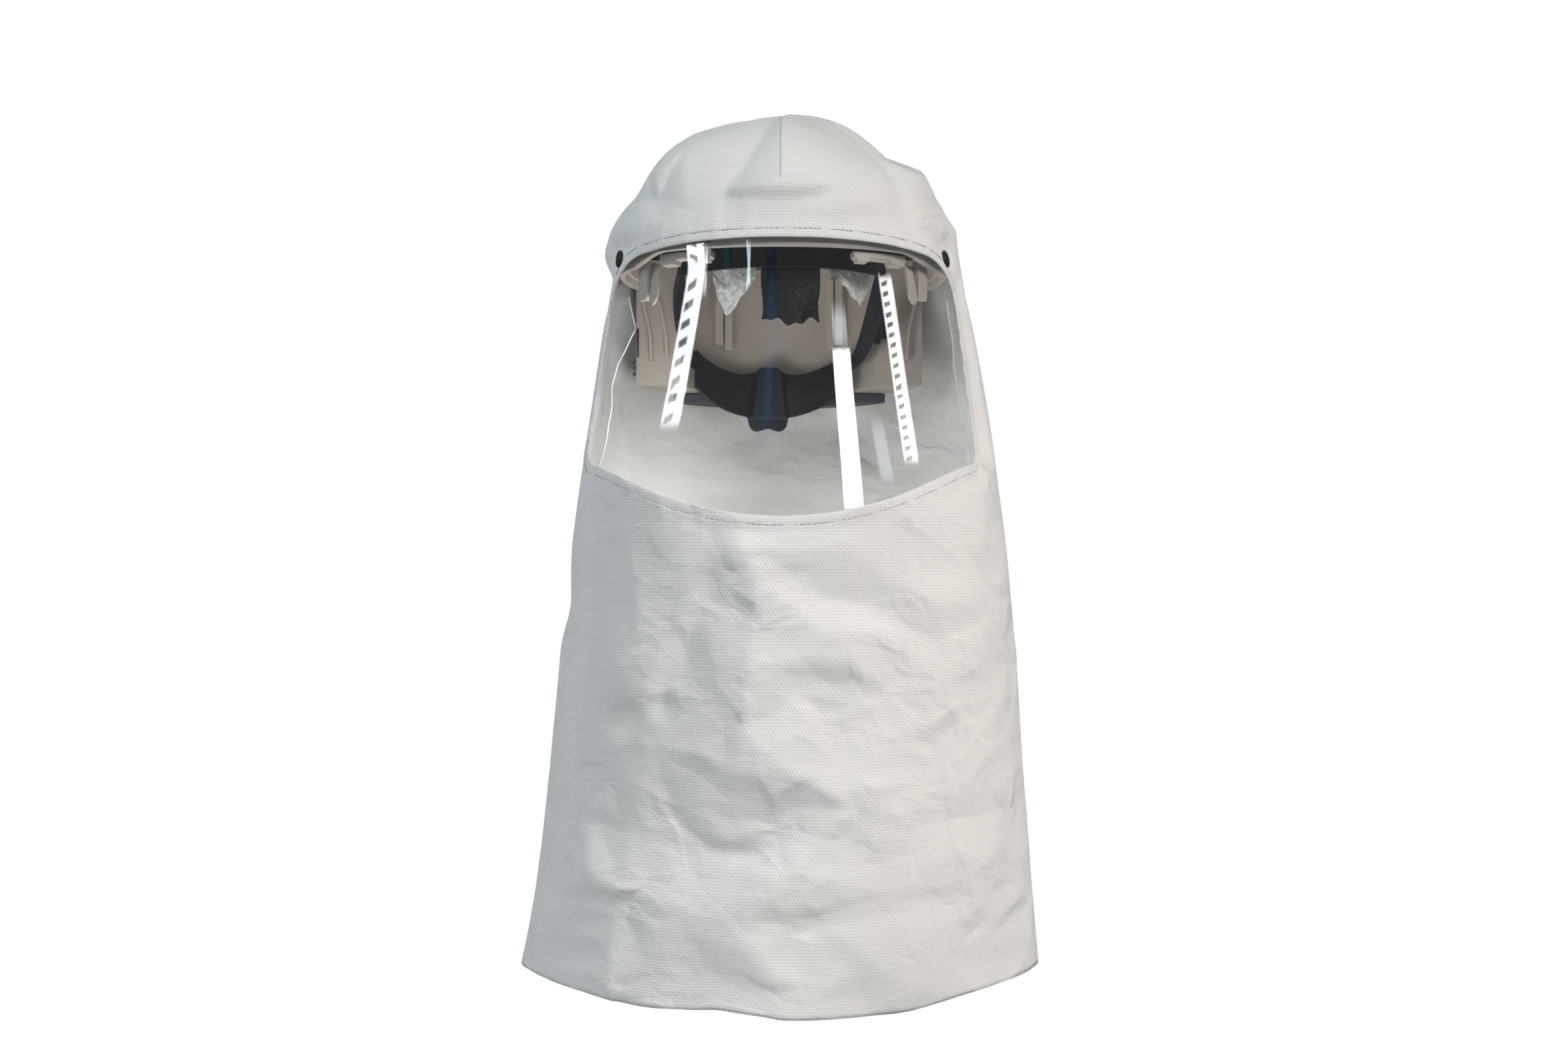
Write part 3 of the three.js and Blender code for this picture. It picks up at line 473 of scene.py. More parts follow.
def cloth_finish():
    paint = Paint("embossed_cloth")
    right, up = paint.across()
    line = up / DIMPLE_ROW
    odd = (line.whole() * 0.5).fraction()
    across = (right / DIMPLE_PITCH + odd).fraction() - 0.5
    along = (line.fraction() - 0.5) * (DIMPLE_ROW / DIMPLE_PITCH)
    dimple = (across * across + along * along).root().ramp(0.42, 0.2)
    fibre = paint.noise(0.9, 4, paint.stretched(1, 1, 2.6))
    crumple = paint.noise(26, 4, rough=0.6, warp=0.5)
    wrinkle = paint.noise(7, 3, paint.stretched(0.3, 0.3, 1), warp=0.4)
    sideways, _, height_of = paint.split(paint.place())
    seam = (sideways - SEAM_X).size().ramp(0.9, 0.2) * height_of.ramp(SEAM_FOOT, SEAM_FOOT + 3)
    draped = height_of.ramp(20, -150) * 0.7 + 0.3
    bent = paint.bent(45, 26, (0.75, 1.1, 1))
    height = 0.05 * fibre + 0.6 * crumple + 0.22 * wrinkle - 0.11 * dimple - 0.5 * seam
    for coarse, fine, depth, patch, low, high in CRINKLES:
        facets = paint.roofs(bent, coarse) - paint.roofs(bent, fine)
        height += depth * facets * paint.noise(patch, 2).ramp(low, high) * draped
    tone = paint.noise(90, 3)
    pale = paint.mix(tone, (0.8, 0.795, 0.78), (0.84, 0.835, 0.82))
    # The pressed-in dimples are also painted darker: painted shade in their hollows.
    dimple_shaded = paint.mix(dimple * 0.6, pale, (0.62, 0.62, 0.61))
    sewn = paint.mix(seam * 0.35, dimple_shaded, (0.5, 0.5, 0.5))
    roughness = 0.62 + 0.14 * fibre
    shader = paint.surface(sewn, roughness, paint.bump(height, 1.0), Specular_IOR_Level=0.25)
    return paint.finish(shader)


def thread_finish():
    paint = Paint("sewing_thread")
    twist = (paint.noise(0.5, 2) * 9).wave()
    base = paint.mix(twist * 0.5 + 0.5, (0.48, 0.48, 0.47), (0.64, 0.64, 0.63))
    return paint.finish(paint.surface(base, 0.8, paint.bump(twist, 0.1)))


def lens_finish():
    paint = Paint("clear_lens")
    facing = paint.add("LayerWeight", {"Blend": 0.5}, "Facing")
    gloss = 0.05 + 0.12 * facing**6
    smear = paint.noise(14, 4, paint.stretched(1, 1, 0.25), warp=0.6).ramp(0.5, 0.8)
    speck = paint.noise(1.6, 2).ramp(0.74, 0.8)
    clear = paint.add("BsdfTransparent", {"Color": (0.955, 0.965, 0.965)})
    mirror = paint.add("BsdfAnisotropic", {"Color": (1, 1, 1), "Roughness": 0.015})
    dust = paint.surface((0.7, 0.72, 0.73), 0.9)
    seen = paint.add("MixShader", {0: 0.003 + 0.006 * smear + 0.04 * speck, 1: clear, 2: dust})
    return paint.finish(paint.add("MixShader", {0: gloss, 1: seen, 2: mirror}))


def tab_finish():
    paint = Paint("clear_tab")
    facing = paint.add("LayerWeight", {"Blend": 0.5}, "Facing")
    cloud = paint.noise(5, 3)
    body = paint.surface((0.6, 0.62, 0.62), 0.25, paint.bump(cloud, 0.2))
    return paint.sheer(0.16 + 0.5 * facing**2 + 0.1 * cloud, (0.86, 0.87, 0.87), body)


def tape_finish():
    paint = Paint("edge_tape")
    crinkle = paint.noise(7, 4, paint.stretched(2, 2, 0.5), warp=0.5)
    base = paint.mix(crinkle, (0.8, 0.8, 0.79), (0.9, 0.9, 0.88))
    body = paint.surface(base, 0.5, paint.bump(crinkle, 0.1))
    return paint.sheer(0.06 + 0.14 * crinkle, (1, 1, 1), body)


def helmet_finish():
    paint = Paint("helmet_plastic")
    tone = paint.noise(60, 3)
    grain = paint.noise(0.7, 2)
    scuff = paint.noise(9, 5, paint.stretched(0.4, 1, 1.6), warp=1.2).ramp(0.6, 0.75)
    base = paint.mix(tone, (0.43, 0.38, 0.335), (0.53, 0.48, 0.43))
    worn = paint.mix(scuff * 0.35, base, (0.62, 0.58, 0.54))
    return paint.finish(paint.surface(worn, 0.42 + 0.14 * grain + 0.1 * scuff, paint.bump(grain, 0.05)))


def band_finish():
    paint = Paint("headband_plastic")
    grain = paint.noise(0.8, 3)
    dust = paint.noise(5, 6, paint.stretched(1, 1, 1.8), rough=0.75, warp=0.8).ramp(0.52, 0.78)
    speck = paint.noise(1.5, 2).ramp(0.7, 0.78)
    tone = paint.noise(40, 3)
    base = paint.mix(tone, (0.005, 0.0055, 0.007), (0.011, 0.012, 0.015))
    dusty = paint.mix((dust * 0.09 + speck * 0.35).least(0.8), base, (0.12, 0.115, 0.11))
    roughness = 0.42 + 0.2 * dust + 0.08 * grain
    return paint.finish(paint.surface(dusty, roughness, paint.bump(grain, 0.08), Specular_IOR_Level=0.12))


def knob_finish():
    paint = Paint("knob_plastic")
    tone = paint.noise(12, 3, paint.stretched(3, 1, 0.2))
    grain = paint.noise(0.6, 2)
    base = paint.mix(tone, (0.006, 0.008, 0.011), (0.014, 0.019, 0.025))
    shader = paint.surface(base, 0.3 + 0.12 * grain, paint.bump(grain, 0.05), Specular_IOR_Level=0.2)
    return paint.finish(shader)


def flap_finish():
    paint = Paint("crinkled_flap")
    crinkle = paint.noise(8, 6, rough=0.65, warp=1.5)
    base = paint.mix(crinkle, (0.004, 0.0045, 0.006), (0.012, 0.013, 0.016))
    shader = paint.surface(base, 0.16 + 0.16 * crinkle, paint.bump(crinkle, 1.4), Specular_IOR_Level=0.2)
    return paint.finish(shader)


def film_finish():
    paint = Paint("frosted_film")
    crinkle = paint.noise(6, 5, rough=0.6, warp=1.0)
    vein = (paint.noise(9, 3, warp=0.8) - 0.5).size().ramp(0.03, 0.0)
    base = paint.mix(vein, (0.7, 0.69, 0.67), (0.92, 0.91, 0.89))
    body = paint.surface(base, 0.35, paint.bump(crinkle, 1.2))
    return paint.sheer((0.6 + 0.3 * crinkle + 0.25 * vein).least(0.97), (0.9, 0.9, 0.88), body)


def grained_finish(name, size, detail, dark, light, roughness, spread, depth, metal=0.0):
    """A plain finish with a fine grain, that changes the roughness by a spread."""
    paint = Paint(name)
    grain = paint.noise(size, detail)
    base = paint.mix(grain, dark, light)
    normal = paint.bump(grain, depth) if depth else None
    return paint.finish(paint.surface(base, roughness + spread * grain, normal, Metallic=metal))


def greys(*tones):
    """Pale greys, a little yellow."""
    return [(tone, tone, tone - 0.01) for tone in tones]


FINISHES = {
    "cloth": cloth_finish(),
    "thread": thread_finish(),
    "lens": lens_finish(),
    "tab": tab_finish(),
    "tape": tape_finish(),
    "bead": grained_finish("edge_bead", 3, 3, *greys(0.58, 0.74), 0.35, 0.2, 0.05),
    "helmet": helmet_finish(),
    "band": band_finish(),
    "knob": knob_finish(),
    "flap": flap_finish(),
    "film": film_finish(),
    "seal": grained_finish(
        "seal_foam", 1.2, 3, (0.012, 0.015, 0.024), (0.035, 0.042, 0.06), 0.55, 0.2, 0.25
    ),
    "snap": grained_finish(
        "snap_metal", 1.2, 3, (0.015, 0.014, 0.01), (0.06, 0.055, 0.04), 0.28, 0.2, 0.05, 0.7
    ),
    "rivet": grained_finish("rivet_metal", 0.8, 2, *greys(0.55, 0.75), 0.16, 0.1, 0, 1.0),
}

# Meshes


def mesh_object(name, points, faces, material):
    mesh = bpy.data.meshes.new(name)
    mesh.from_pydata(points, [], faces)
    mesh.materials.append(material)
    made = bpy.data.objects.new(name, mesh)
    bpy.context.scene.collection.objects.link(made)
    return made


def make_piece(name, points, faces, finish, body="hood", stands_for=(), slot=None, outwards=True):
    """A smooth piece from points in millimetres, riding on a body and standing for CAD nodes."""
    piece = mesh_object(name, (np.asarray(points) * MM).tolist(), faces, FINISHES[finish])
    mesh = piece.data
    if outwards:
        shell = bmesh.new()
        shell.from_mesh(mesh)
        bmesh.ops.remove_doubles(shell, verts=shell.verts, dist=1e-6)
        bmesh.ops.recalc_face_normals(shell, faces=shell.faces)
        shell.to_mesh(mesh)
        shell.free()
    mesh.polygons.foreach_set("use_smooth", [True] * len(mesh.polygons))
    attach(piece, body)
    if stands_for:
        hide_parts(*stands_for)
    return piece


def thicken(sheet, wall, offset):
    """Gives a sheet its wall, to one side or both."""
    solid = sheet.modifiers.new("wall", "SOLIDIFY")
    solid.thickness = wall * MM
    solid.offset = offset


def soften(piece, width):
    """Rounds the edges of a piece."""
    bevel = piece.modifiers.new("rounded_edges", "BEVEL")
    bevel.width = width * MM
    bevel.segments = 3
    bevel.limit_method = "ANGLE"
    bevel.angle_limit = math.radians(38)
    bevel.harden_normals = True
    return piece


def loft_faces(count, size, start):
    """Faces of a skin over rings of points, with flat ends."""
    last = start + (count - 1) * size
    faces = []
    for a in range(start, last, size):
        for j in range(size):
            k = (j + 1) % size
            faces.append((a + j, a + k, a + size + k, a + size + j))
    return faces + [tuple(range(start + size - 1, start - 1, -1)), tuple(range(last, last + size))]


def grid_faces(rows, columns):
    """Faces of a sheet with rows and columns of cells."""
    first = [j * (columns + 1) + i for j in range(rows) for i in range(columns)]
    return [(a, a + 1, a + columns + 2, a + columns + 1) for a in first]


def loft(name, runs, finish, **options):
    """One piece from runs of rings, each an array of rings, points and coordinates."""
    points, faces, start = [], [], 0
    for rings in runs:
        rings = np.asarray(rings, float)
        count, size = rings.shape[:2]
        points.append(rings.reshape(-1, 3))
        faces += loft_faces(count, size, start)
        start += count * size
    return make_piece(name, np.concatenate(points), faces, finish, **options)


def hood_slab(angle, low, high, near, far, rows=1):
    """A ring round the upright section of a plate that follows the hood, between two depths."""
    up = np.linspace(low, high, rows + 1)
    return on_hood(angle, np.concatenate([up, up[::-1]]), np.repeat((float(near), float(far)), rows + 1))


def box_rings(middle, half, turn=0.0):
    """Rings of a box, turned about Z."""
    c, s = math.cos(turn), math.sin(turn)
    corners = [(i * half[0], j * half[1]) for i, j in ((-1, -1), (1, -1), (1, 1), (-1, 1))]
    outline = [(middle[0] + x * c - y * s, middle[1] + x * s + y * c) for x, y in corners]
    return [[(x, y, middle[2] + z) for x, y in outline] for z in (-half[2], half[2])]


def tube(path, radius, sides=8):
    """Rings of a tube along a path."""
    path = np.asarray(path, float)
    along = np.gradient(path, axis=0)
    along /= np.linalg.norm(along, axis=1, keepdims=True)
    side = np.cross(along, (0.13, 0.31, 0.94))
    side /= np.linalg.norm(side, axis=1, keepdims=True)
    up = np.cross(along, side)
    turn = np.linspace(0, 2 * np.pi, sides, endpoint=False)[:, None]
    return path[:, None] + radius * (np.cos(turn) * side[:, None] + np.sin(turn) * up[:, None])


def turned(profile, sides, centre, axis):
    """Rings of a turned shape; the profile holds radius and height along the axis."""
    least_radius = 0.02
    axis = np.asarray(axis, float) / np.linalg.norm(axis)
    side = np.cross(axis, (0.2, 0.3, 0.93))
    side /= np.linalg.norm(side)
    other = np.cross(axis, side)
    turn = np.linspace(0, 2 * np.pi, sides, endpoint=False)[:, None]
    ring = np.cos(turn) * side + np.sin(turn) * other
    return [np.asarray(centre) + max(r, least_radius) * ring + h * axis for r, h in profile]


# Cloth

WINDOW_COLUMNS = 150
BACK_COLUMNS = 48
LOOSE_STEP = 38  # between the loose points of the facets
SMALL_CREASES = 200
HEM_STEPS = (0, 1.2, 2.6, 4, 5.2, 6.2, 7.2, 8.4, 9.8, 12, 15.5, 20)
SKIRT_ROWS, SIDE_ROWS, CROWN_ROWS = 94, 24, 60


def cloth_angles():
    """Columns of the cloth, closer together by the window's sides."""
    t = np.linspace(-1, 1, WINDOW_COLUMNS + 1)
    window = WINDOW_REACH * (0.62 * np.sin(np.pi * t / 2) + 0.38 * t)
    s = np.linspace(0, 1, BACK_COLUMNS + 1)[1:]
    back = lerp(WINDOW_REACH, 180, s - 0.6 * np.sin(np.pi * s) / np.pi)
    return np.concatenate([-back[::-1], window, back])


def cloth_levels(angles):
    """Rows of the cloth as levels, so that rows follow the window's upper and lower edges."""
    hem_steps = np.array(HEM_STEPS)
    low, high = window_bottom(angles), window_top(angles)
    behind = smoothstep(np.abs(angles), WINDOW_REACH, 150)
    low, high = lerp(low, -140, behind), lerp(high, -10, behind)
    share = np.linspace(0, 1, SKIRT_ROWS + 1)[:-1]
    skirt = [level_at(lerp(HEM, low - hem_steps[-1], s)) for s in share]
    lower = [level_at(low - step) for step in hem_steps[::-1]]
    side = [level_at(lerp(low, high, s)) for s in np.linspace(0, 1, SIDE_ROWS + 1)[1:-1]]
    upper = [level_at(high + step) for step in hem_steps]
    begin = np.interp(upper[-1], LEVELS, LEVEL_RUNS)
    runs = [lerp(begin, LEVEL_RUNS[-1], s) for s in np.linspace(0, 1, CROWN_ROWS + 1)[1:]]
    crown = [np.interp(run, LEVEL_RUNS, LEVELS) for run in runs]
    return np.array(skirt + lower + side + upper + crown)


def fold_frame(angle, z, fold):
    """Distances across and along a fold, in its own widths and lengths."""
    around = (np.mod(angle - fold[0] + 180, 360) - 180) * np.radians(FOLD_RADIUS)
    up = z - fold[1]
    s, c = math.sin(math.radians(fold[2])), math.cos(math.radians(fold[2]))
    return (around * c - up * s) / fold[4], (around * s + up * c) / fold[3]


def crease_points():
    """The points of the crease lines, the pairs of them that are joined, and loose points elsewhere."""
    spots, joins = [], []
    for line in CREASE_LINES:
        for spot in line:
            if spot not in spots:
                spots.append(spot)
        index = [spots.index(spot) for spot in line]
        joins += zip(index, index[1:])
    placed = np.array(spots)[:, :2] * (np.radians(FOLD_RADIUS), 1)
    for z in np.arange(-525, 130, LOOSE_STEP):
        for angle in np.arange(-200, 200, np.degrees(LOOSE_STEP / FOLD_RADIUS)):
            shift = chance.uniform(-0.35, 0.35, 2) * LOOSE_STEP
            spot = np.array([np.radians(angle) * FOLD_RADIUS, z]) + shift
            if np.hypot(*(placed - spot).T).min() < 0.55 * LOOSE_STEP:
                continue
            size = lerp(0.6, 6, float(smoothstep(abs(angle), 85, 125)))
            spots.append((np.degrees(spot[0] / FOLD_RADIUS), spot[1], chance.uniform(-size, size)))
    return np.array(spots), joins


def crushed(angle, z):
    """Heights of the flat facets between the creases."""
    spots, joins = crease_points()
    flat = spots[:, :2] * (np.radians(FOLD_RADIUS), 1)
    corners, _, faces, sources, _, _ = delaunay_2d_cdt([Vector(p) for p in flat], joins, [], 0, 1e-4)
    corners = np.array(corners)
    nearest = [s[0] if s else np.hypot(*(flat - c).T).argmin() for s, c in zip(sources, corners)]
    pushes = spots[nearest, 2]
    order = np.argsort(z, axis=None)
    all_x, all_y = (np.radians(angle) * FOLD_RADIUS).ravel()[order], z.ravel()[order]
    height = np.zeros(angle.size)
    for face in faces:
        (ax, ay), (bx, by), (cx, cy) = corners[list(face)]
        twice = (bx - ax) * (cy - ay) - (cx - ax) * (by - ay)
        if abs(twice) < 1e-9:
            continue
        near = slice(*np.searchsorted(all_y, (min(ay, by, cy), max(ay, by, cy))))
        x, y = all_x[near], all_y[near]
        second = ((x - ax) * (cy - ay) - (cx - ax) * (y - ay)) / twice
        third = ((bx - ax) * (y - ay) - (x - ax) * (by - ay)) / twice
        inside = (second >= 0) & (third >= 0) & (second + third <= 1)
        first, others = pushes[face[0]], pushes[list(face[1:])]
        level = first + second * (others[0] - first) + third * (others[1] - first)
        height[order[near][inside]] = level[inside]
    return height.reshape(angle.shape) * smoothstep(np.abs(angle), 180, 160)


def small_creases(count):
    """Scattered short creases of the skirt, thickest at the lower left."""
    made = []
    while len(made) < count:
        angle, z = chance.uniform(-180, 180), chance.uniform(-500, -60)
        worn = math.exp(-(((angle + 55) / 40) ** 2) - ((z + 430) / 70) ** 2)
        if chance.random() > 0.35 + 0.65 * worn:
            continue
        lean = chance.normal(70, 40) if worn > 0.3 else chance.uniform(-90, 90)
        length, width = chance.uniform(9, 30), chance.uniform(3.5, 9)
        push = chance.choice((-1, 1)) * chance.uniform(0.15, 0.6) * (1 + 0.6 * worn)
        made.append((angle, z, lean, length, width, push))
    return made


def almond_boss(points):
    """The oval boss of the helmet that shows through the cloth above the brow."""
    half, height, middle, push = 35, 7.5, 44.5, 4.2
    inside = 1 - (points[..., 0] / half) ** 2 - ((points[..., 2] - middle) / height) ** 2
    return push * np.sqrt(np.maximum(inside, 0)) * (points[..., 1] < 0)


def cloth_push(angle, z, points):
    """How far the cloth stands out from the plain surface."""
    draped = smoothstep(z, 30, -60)
    seen_edge = np.exp(-(((np.abs(angle) - 86) / 14) ** 2)) * smoothstep(z, 50, 20)
    quieter = 1 - 0.5 * seen_edge
    push = crushed(angle, z) * quieter
    push += almond_boss(points)
    for fold in FOLDS:
        across, along = fold_frame(angle, z, fold)
        push += fold[5] * np.exp(-(across**2) - along**2)
    for crease in small_creases(SMALL_CREASES):
        across, along = fold_frame(angle, z, crease)
        steep = np.where(across > 0, across, across * 0.45)
        push += crease[5] * np.maximum(1 - np.abs(steep) / 1.5, 0) * np.exp(-(along**2)) * quieter
    turn = np.radians(angle)
    for k in range(3):
        size = 1.6 * 1.55**k
        wander = z / 100 * size + 1.3 * k + np.sin(turn * 3 + k)
        push += 1.5 / size * np.sin(turn * round(2 * size) + 2.1 * k) * np.sin(wander) * draped
    from_edge = window_distance(angle, z)
    above_or_below = np.maximum(z - window_top(angle), window_bottom(angle) - z)
    outside = np.maximum(above_or_below, (np.abs(angle) - WINDOW_REACH) * 2.6)
    from_snap = np.hypot((np.abs(angle) - SNAP_ANGLE) * np.radians(FOLD_RADIUS), z - SNAP_Z)
    push *= smoothstep(outside, 8, 22) * smoothstep(from_snap, 8, 20) * (1 - smoothstep(z, 106, 117))
    hem, lip = smoothstep(from_edge, 9.4, 7.6), np.exp(-((from_edge / 0.9) ** 2))
    sewn = np.exp(-(((from_edge - STITCH_OFFSET) / 1.1) ** 2))
    push += 0.5 * hem - 0.7 * lip - 0.45 * sewn
    ripple = np.sin(angle * 0.9) * np.sin(angle * 0.31 + 1) * 0.5
    push += ripple * smoothstep(from_edge, 0, 6) * smoothstep(from_edge, 30, 14)
    ridge = np.exp(-np.abs(points[..., 0] - SEAM_X) / 11) * smoothstep(z, 48, 60)
    ridge *= 1 - smoothstep(z, 104, 116)
    return push + 1.6 * ridge


HEM_LIFTS = np.array([
    (-180, 0), (-90, 0), (-70, 3), (-52, 3.4), (-40, 2.4), (-30, 1), (-22, 2), (-16, 3.6), (-8, 1.6),
    (0, -0.8), (10, -2), (20, -2.6), (32, -2.4), (44, 0.6), (58, 2.8), (75, 3), (95, 0), (180, 0),
])


def hood_cloth():
    angles = cloth_angles()
    levels = cloth_levels(angles)
    rows, columns = levels.shape
    angle = np.broadcast_to(angles, levels.shape)
    plain = hood_point(angle, levels)
    z = plain[..., 2]
    points = plain + hood_normal(angle, levels) * cloth_push(angle, z, plain)[..., None]
    lift = np.interp(angle, HEM_LIFTS[:, 0], HEM_LIFTS[:, 1])
    points[..., 2] += lift * smoothstep(z, HEM + 70, HEM)
    points[-1] = points[-1].mean(0)
    right = runs_along(plain, 1)
    right -= right[:, [columns // 2]]
    unrolled = np.stack([right, runs_along(plain)], -1)
    first = SKIRT_ROWS + len(HEM_STEPS) - 1
    last, seam = first + SIDE_ROWS, columns - 1
    faces, spots = [], []
    for i in range(rows - 1):
        for j in range(columns - 1):
            if first <= i < last and BACK_COLUMNS <= j < BACK_COLUMNS + WINDOW_COLUMNS:
                continue
            corners = [(i, j), (i, j + 1), (i + 1, j + 1), (i + 1, j)]
            if i == rows - 2:
                corners = corners[:2] + [(i + 1, 0)]
            faces.append([r * seam + c % seam for r, c in corners])
            spots += [unrolled[r, c] if r < rows - 1 else unrolled[r, j] for r, c in corners]
    flat = np.concatenate([points[:-1, :-1].reshape(-1, 3), points[-1:, 0]])
    used = np.unique(np.concatenate(faces))
    faces = [np.searchsorted(used, face).tolist() for face in faces]
    options = dict(stands_for=["hood_cloth"], slot="cloth", outwards=False)
    cloth = make_piece("hood_sheet", flat[used], faces, "cloth", **options)
    layer = cloth.data.uv_layers.new(name="unrolled")
    layer.data.foreach_set("uv", (np.array(spots) * MM).ravel())
    thicken(cloth, CLOTH_WALL, -1)
    return cloth


def window_stitches():
    """A row of stitches round the window, at an even distance from its edge."""
    edge = WINDOW_FLAT
    along = np.roll(edge, -1, 0) - np.roll(edge, 1, 0)
    along /= np.linalg.norm(along, axis=1, keepdims=True)
    path = edge + np.stack([along[:, 1], -along[:, 0]], 1) * STITCH_OFFSET
    path = np.concatenate([path, path[:1]])
    run = runs_along(path)
    runs = []
    for start in np.arange(0, run[-1] - STITCH_PITCH, STITCH_PITCH):
        steps = start + np.linspace(0, STITCH_LENGTH, 5)
        spot = np.stack([np.interp(steps, run, path[:, k]) for k in (0, 1)], 1)
        angle = np.degrees(spot[:, 0] / WINDOW_RADIUS)
        rise = -0.1 + 0.3 * np.sin(np.linspace(0, np.pi, 5))
        runs.append(tube(on_hood(angle, spot[:, 1], -rise), 0.4, 6))
    return loft("window_stitches", runs, "thread")


# Lens and snaps


def face_lens():
    angles = LENS_REACH * np.linspace(-1, 1, 121)
    low = window_bottom(angles, LENS_REACH) - LENS_LAP
    high = window_top(angles, LENS_REACH * 1.25) + LENS_LAP
    spans = zip(angles, low, high)
    rings = [hood_slab(*span, LENS_INSET, LENS_INSET + LENS_WALL, 36) for span in spans]
    return loft("lens_sheet", [rings], "lens", stands_for=["face_lens"], slot="lens")


# Where the lens' edge tapes end, as heights and angles.
TAPE_ENDS = {
    "left": ((-158, 62), (-130, 60), (-100, 59), (-85, 61), (-68, 60), (-60, 56), (-46, 50.5), (-22, 58)),
    "right": ((-158, 67), (-130, 68), (-100, 66.5), (-75, 65), (-50, 66), (-22, 67)),
}


def lens_edges():
    """Clear tapes at the lens' sides, each with a bead along its inner end."""
    for side, sign in SIDES:
        line = np.array(TAPE_ENDS[side])
        rings, bead = [], []
        for z in np.linspace(-158, -22, 90):
            wander = 0.5 * math.sin(z / 9 + sign) + 0.3 * math.sin(z / 4.7)
            ends = np.linspace(np.interp(z, line[:, 0], line[:, 1]) + wander, 73, 7)
            wave = 0.3 * np.sin(z / 6 + ends / 3)
            near = on_hood(sign * ends, np.full(7, z), LENS_INSET + 1.6 + wave)
            far = on_hood(sign * ends[::-1], np.full(7, z), LENS_INSET + 2.2 + wave[::-1])
            rings.append(np.concatenate([near, far]))
            bead.append(on_hood(sign * ends[0], z, LENS_INSET + 2.2))
        name = f"lens_edge_{side}"
        loft(f"edge_tape_{side}", [rings], "tape", stands_for=[name], slot="edge_tape")
        loft(f"edge_bead_{side}", [tube(bead, 0.55)], "bead", slot="edge_tape")


def snaps():
    profile = [
        (0, -5.2), (2.5, -5.2), (2.5, 0.3), (6.0, 0.3), (6.2, 0.6), (6.2, 1.1), (5.9, 1.7), (5.2, 2.05),
        (4.5, 1.9), (3.9, 1.35), (3.3, 1.3), (2.9, 1.7), (2.3, 2.1), (1.4, 2.3), (0, 2.4),
    ]
    for side, sign in SIDES:
        v = level_at(SNAP_Z)
        centre = hood_point(sign * SNAP_ANGLE, v)
        rings = turned(profile, 40, centre, hood_normal(sign * SNAP_ANGLE, v))
        loft(f"snap_cap_{side}", [rings], "snap", stands_for=[f"snap_{side}"], slot="snap")


# Helmet

RIM_INSET, RIM_DEPTH, RIM_TOP, RIM_END = 5.5, 6, 25, 110.2
SHELL_INSET, SHELL_WALL = 5.5, 2.6
LUG_ANGLE, PLATE_ENDS = 61, (51, 56.5)
TAB_ANGLE, RIVET_ANGLE, RIVET_Z = -25, -23.6, 8
HOUSING_FRONT, HOUSING_TOP = 55, 23.4
HOUSING_OUTER = dict(half=117, back=130, roundness=2.3)
HOUSING_INNER = dict(half=84, back=122, roundness=2)


def rim_bottom(angle):
    return lerp(6.5, -1, smoothstep(np.abs(angle), 42, 62))


def brow_rim():
    rings = []
    for angle in np.linspace(-RIM_END, RIM_END, 111):
        low = rim_bottom(angle)
        section_points = [
            (RIM_INSET, low + 0.6), (RIM_INSET, RIM_TOP), (RIM_INSET + RIM_DEPTH, RIM_TOP),
            (RIM_INSET + RIM_DEPTH, low + 6.2), (RIM_INSET + 4.4, low + 5.2), (RIM_INSET + 4.4, low + 1.4),
            (RIM_INSET + 3.6, low), (RIM_INSET + 0.6, low),
        ]
        rings.append([on_hood(angle, z, inset) for inset, z in section_points])
    return soften(loft("brow_beam", [rings], "helmet", stands_for=["brow_rim"], slot="helmet"), 0.5)


def helmet_shell():
    rows, columns = 22, 96
    start = level_at(RIM_TOP + 0.6)
    angles = np.linspace(-180, 180, columns, endpoint=False)
    points, faces = [], []
    for depth in (SHELL_INSET, SHELL_INSET + SHELL_WALL):
        for i in range(rows):
            v = lerp(start, CROWN - 0.02, i / (rows - 1))
            plain = hood_point(angles, np.full(columns, v))
            oval = (plain[:, 0] / 29) ** 2 + ((plain[:, 2] - 44) / 9) ** 2
            boss = 5.4 * np.sqrt(np.maximum(1 - oval, 0)) * (np.abs(angles) < 60) * (depth == SHELL_INSET)
            points.append(plain - hood_normal(angles, np.full(columns, v)) * (depth - boss)[:, None])
    points = np.concatenate(points)
    wall = rows * columns
    for i in range(rows - 1):
        for j in range(columns):
            k = (j + 1) % columns
            a, b, c, d = i * columns + j, i * columns + k, (i + 1) * columns + k, (i + 1) * columns + j
            faces += [(a, b, c, d), (wall + d, wall + c, wall + b, wall + a)]
    for j in range(columns):
        k = (j + 1) % columns
        faces.append((j, wall + j, wall + k, k))
    top = range((rows - 1) * columns, wall)
    faces += [tuple(top), tuple(wall + k for k in reversed(top))]
    return make_piece("helmet_dome", points, faces, "helmet", stands_for=["helmet_shell"], slot="helmet")


def lens_rails():
    steps = np.array([0, 4, 4, 0, 0, 0, 0, 5, 5, 5, 0])
    for side, sign in SIDES:
        rings = []
        for share in np.linspace(0, 1, 81):
            drop = steps[min(int(share * 10 + 0.5), 10)]
            rings.append(hood_slab(sign * lerp(23, 47.5, share), 2 - 0.6 * drop, 6.5, 11.8, 18.8))
        name = f"lens_rail_{side}"
        soften(loft(f"rail_{side}", [rings], "helmet", stands_for=[name], slot="helmet"), 0.6)


def rounded_foot(half, low, high, steps=7):
    """An upright outline with a rounded foot, as points across and up."""
    turn = np.linspace(0, np.pi / 2, steps)
    left = np.stack([-half * (0.6 + 0.4 * np.cos(turn)), low + half * 0.5 * (1 - np.sin(turn))], 1)
    right = np.stack([half * (0.6 + 0.4 * np.sin(turn)), low + half * 0.6 * (1 - np.cos(turn))], 1)
    return np.concatenate([[(-half, high)], left, right, [(half, high)]])


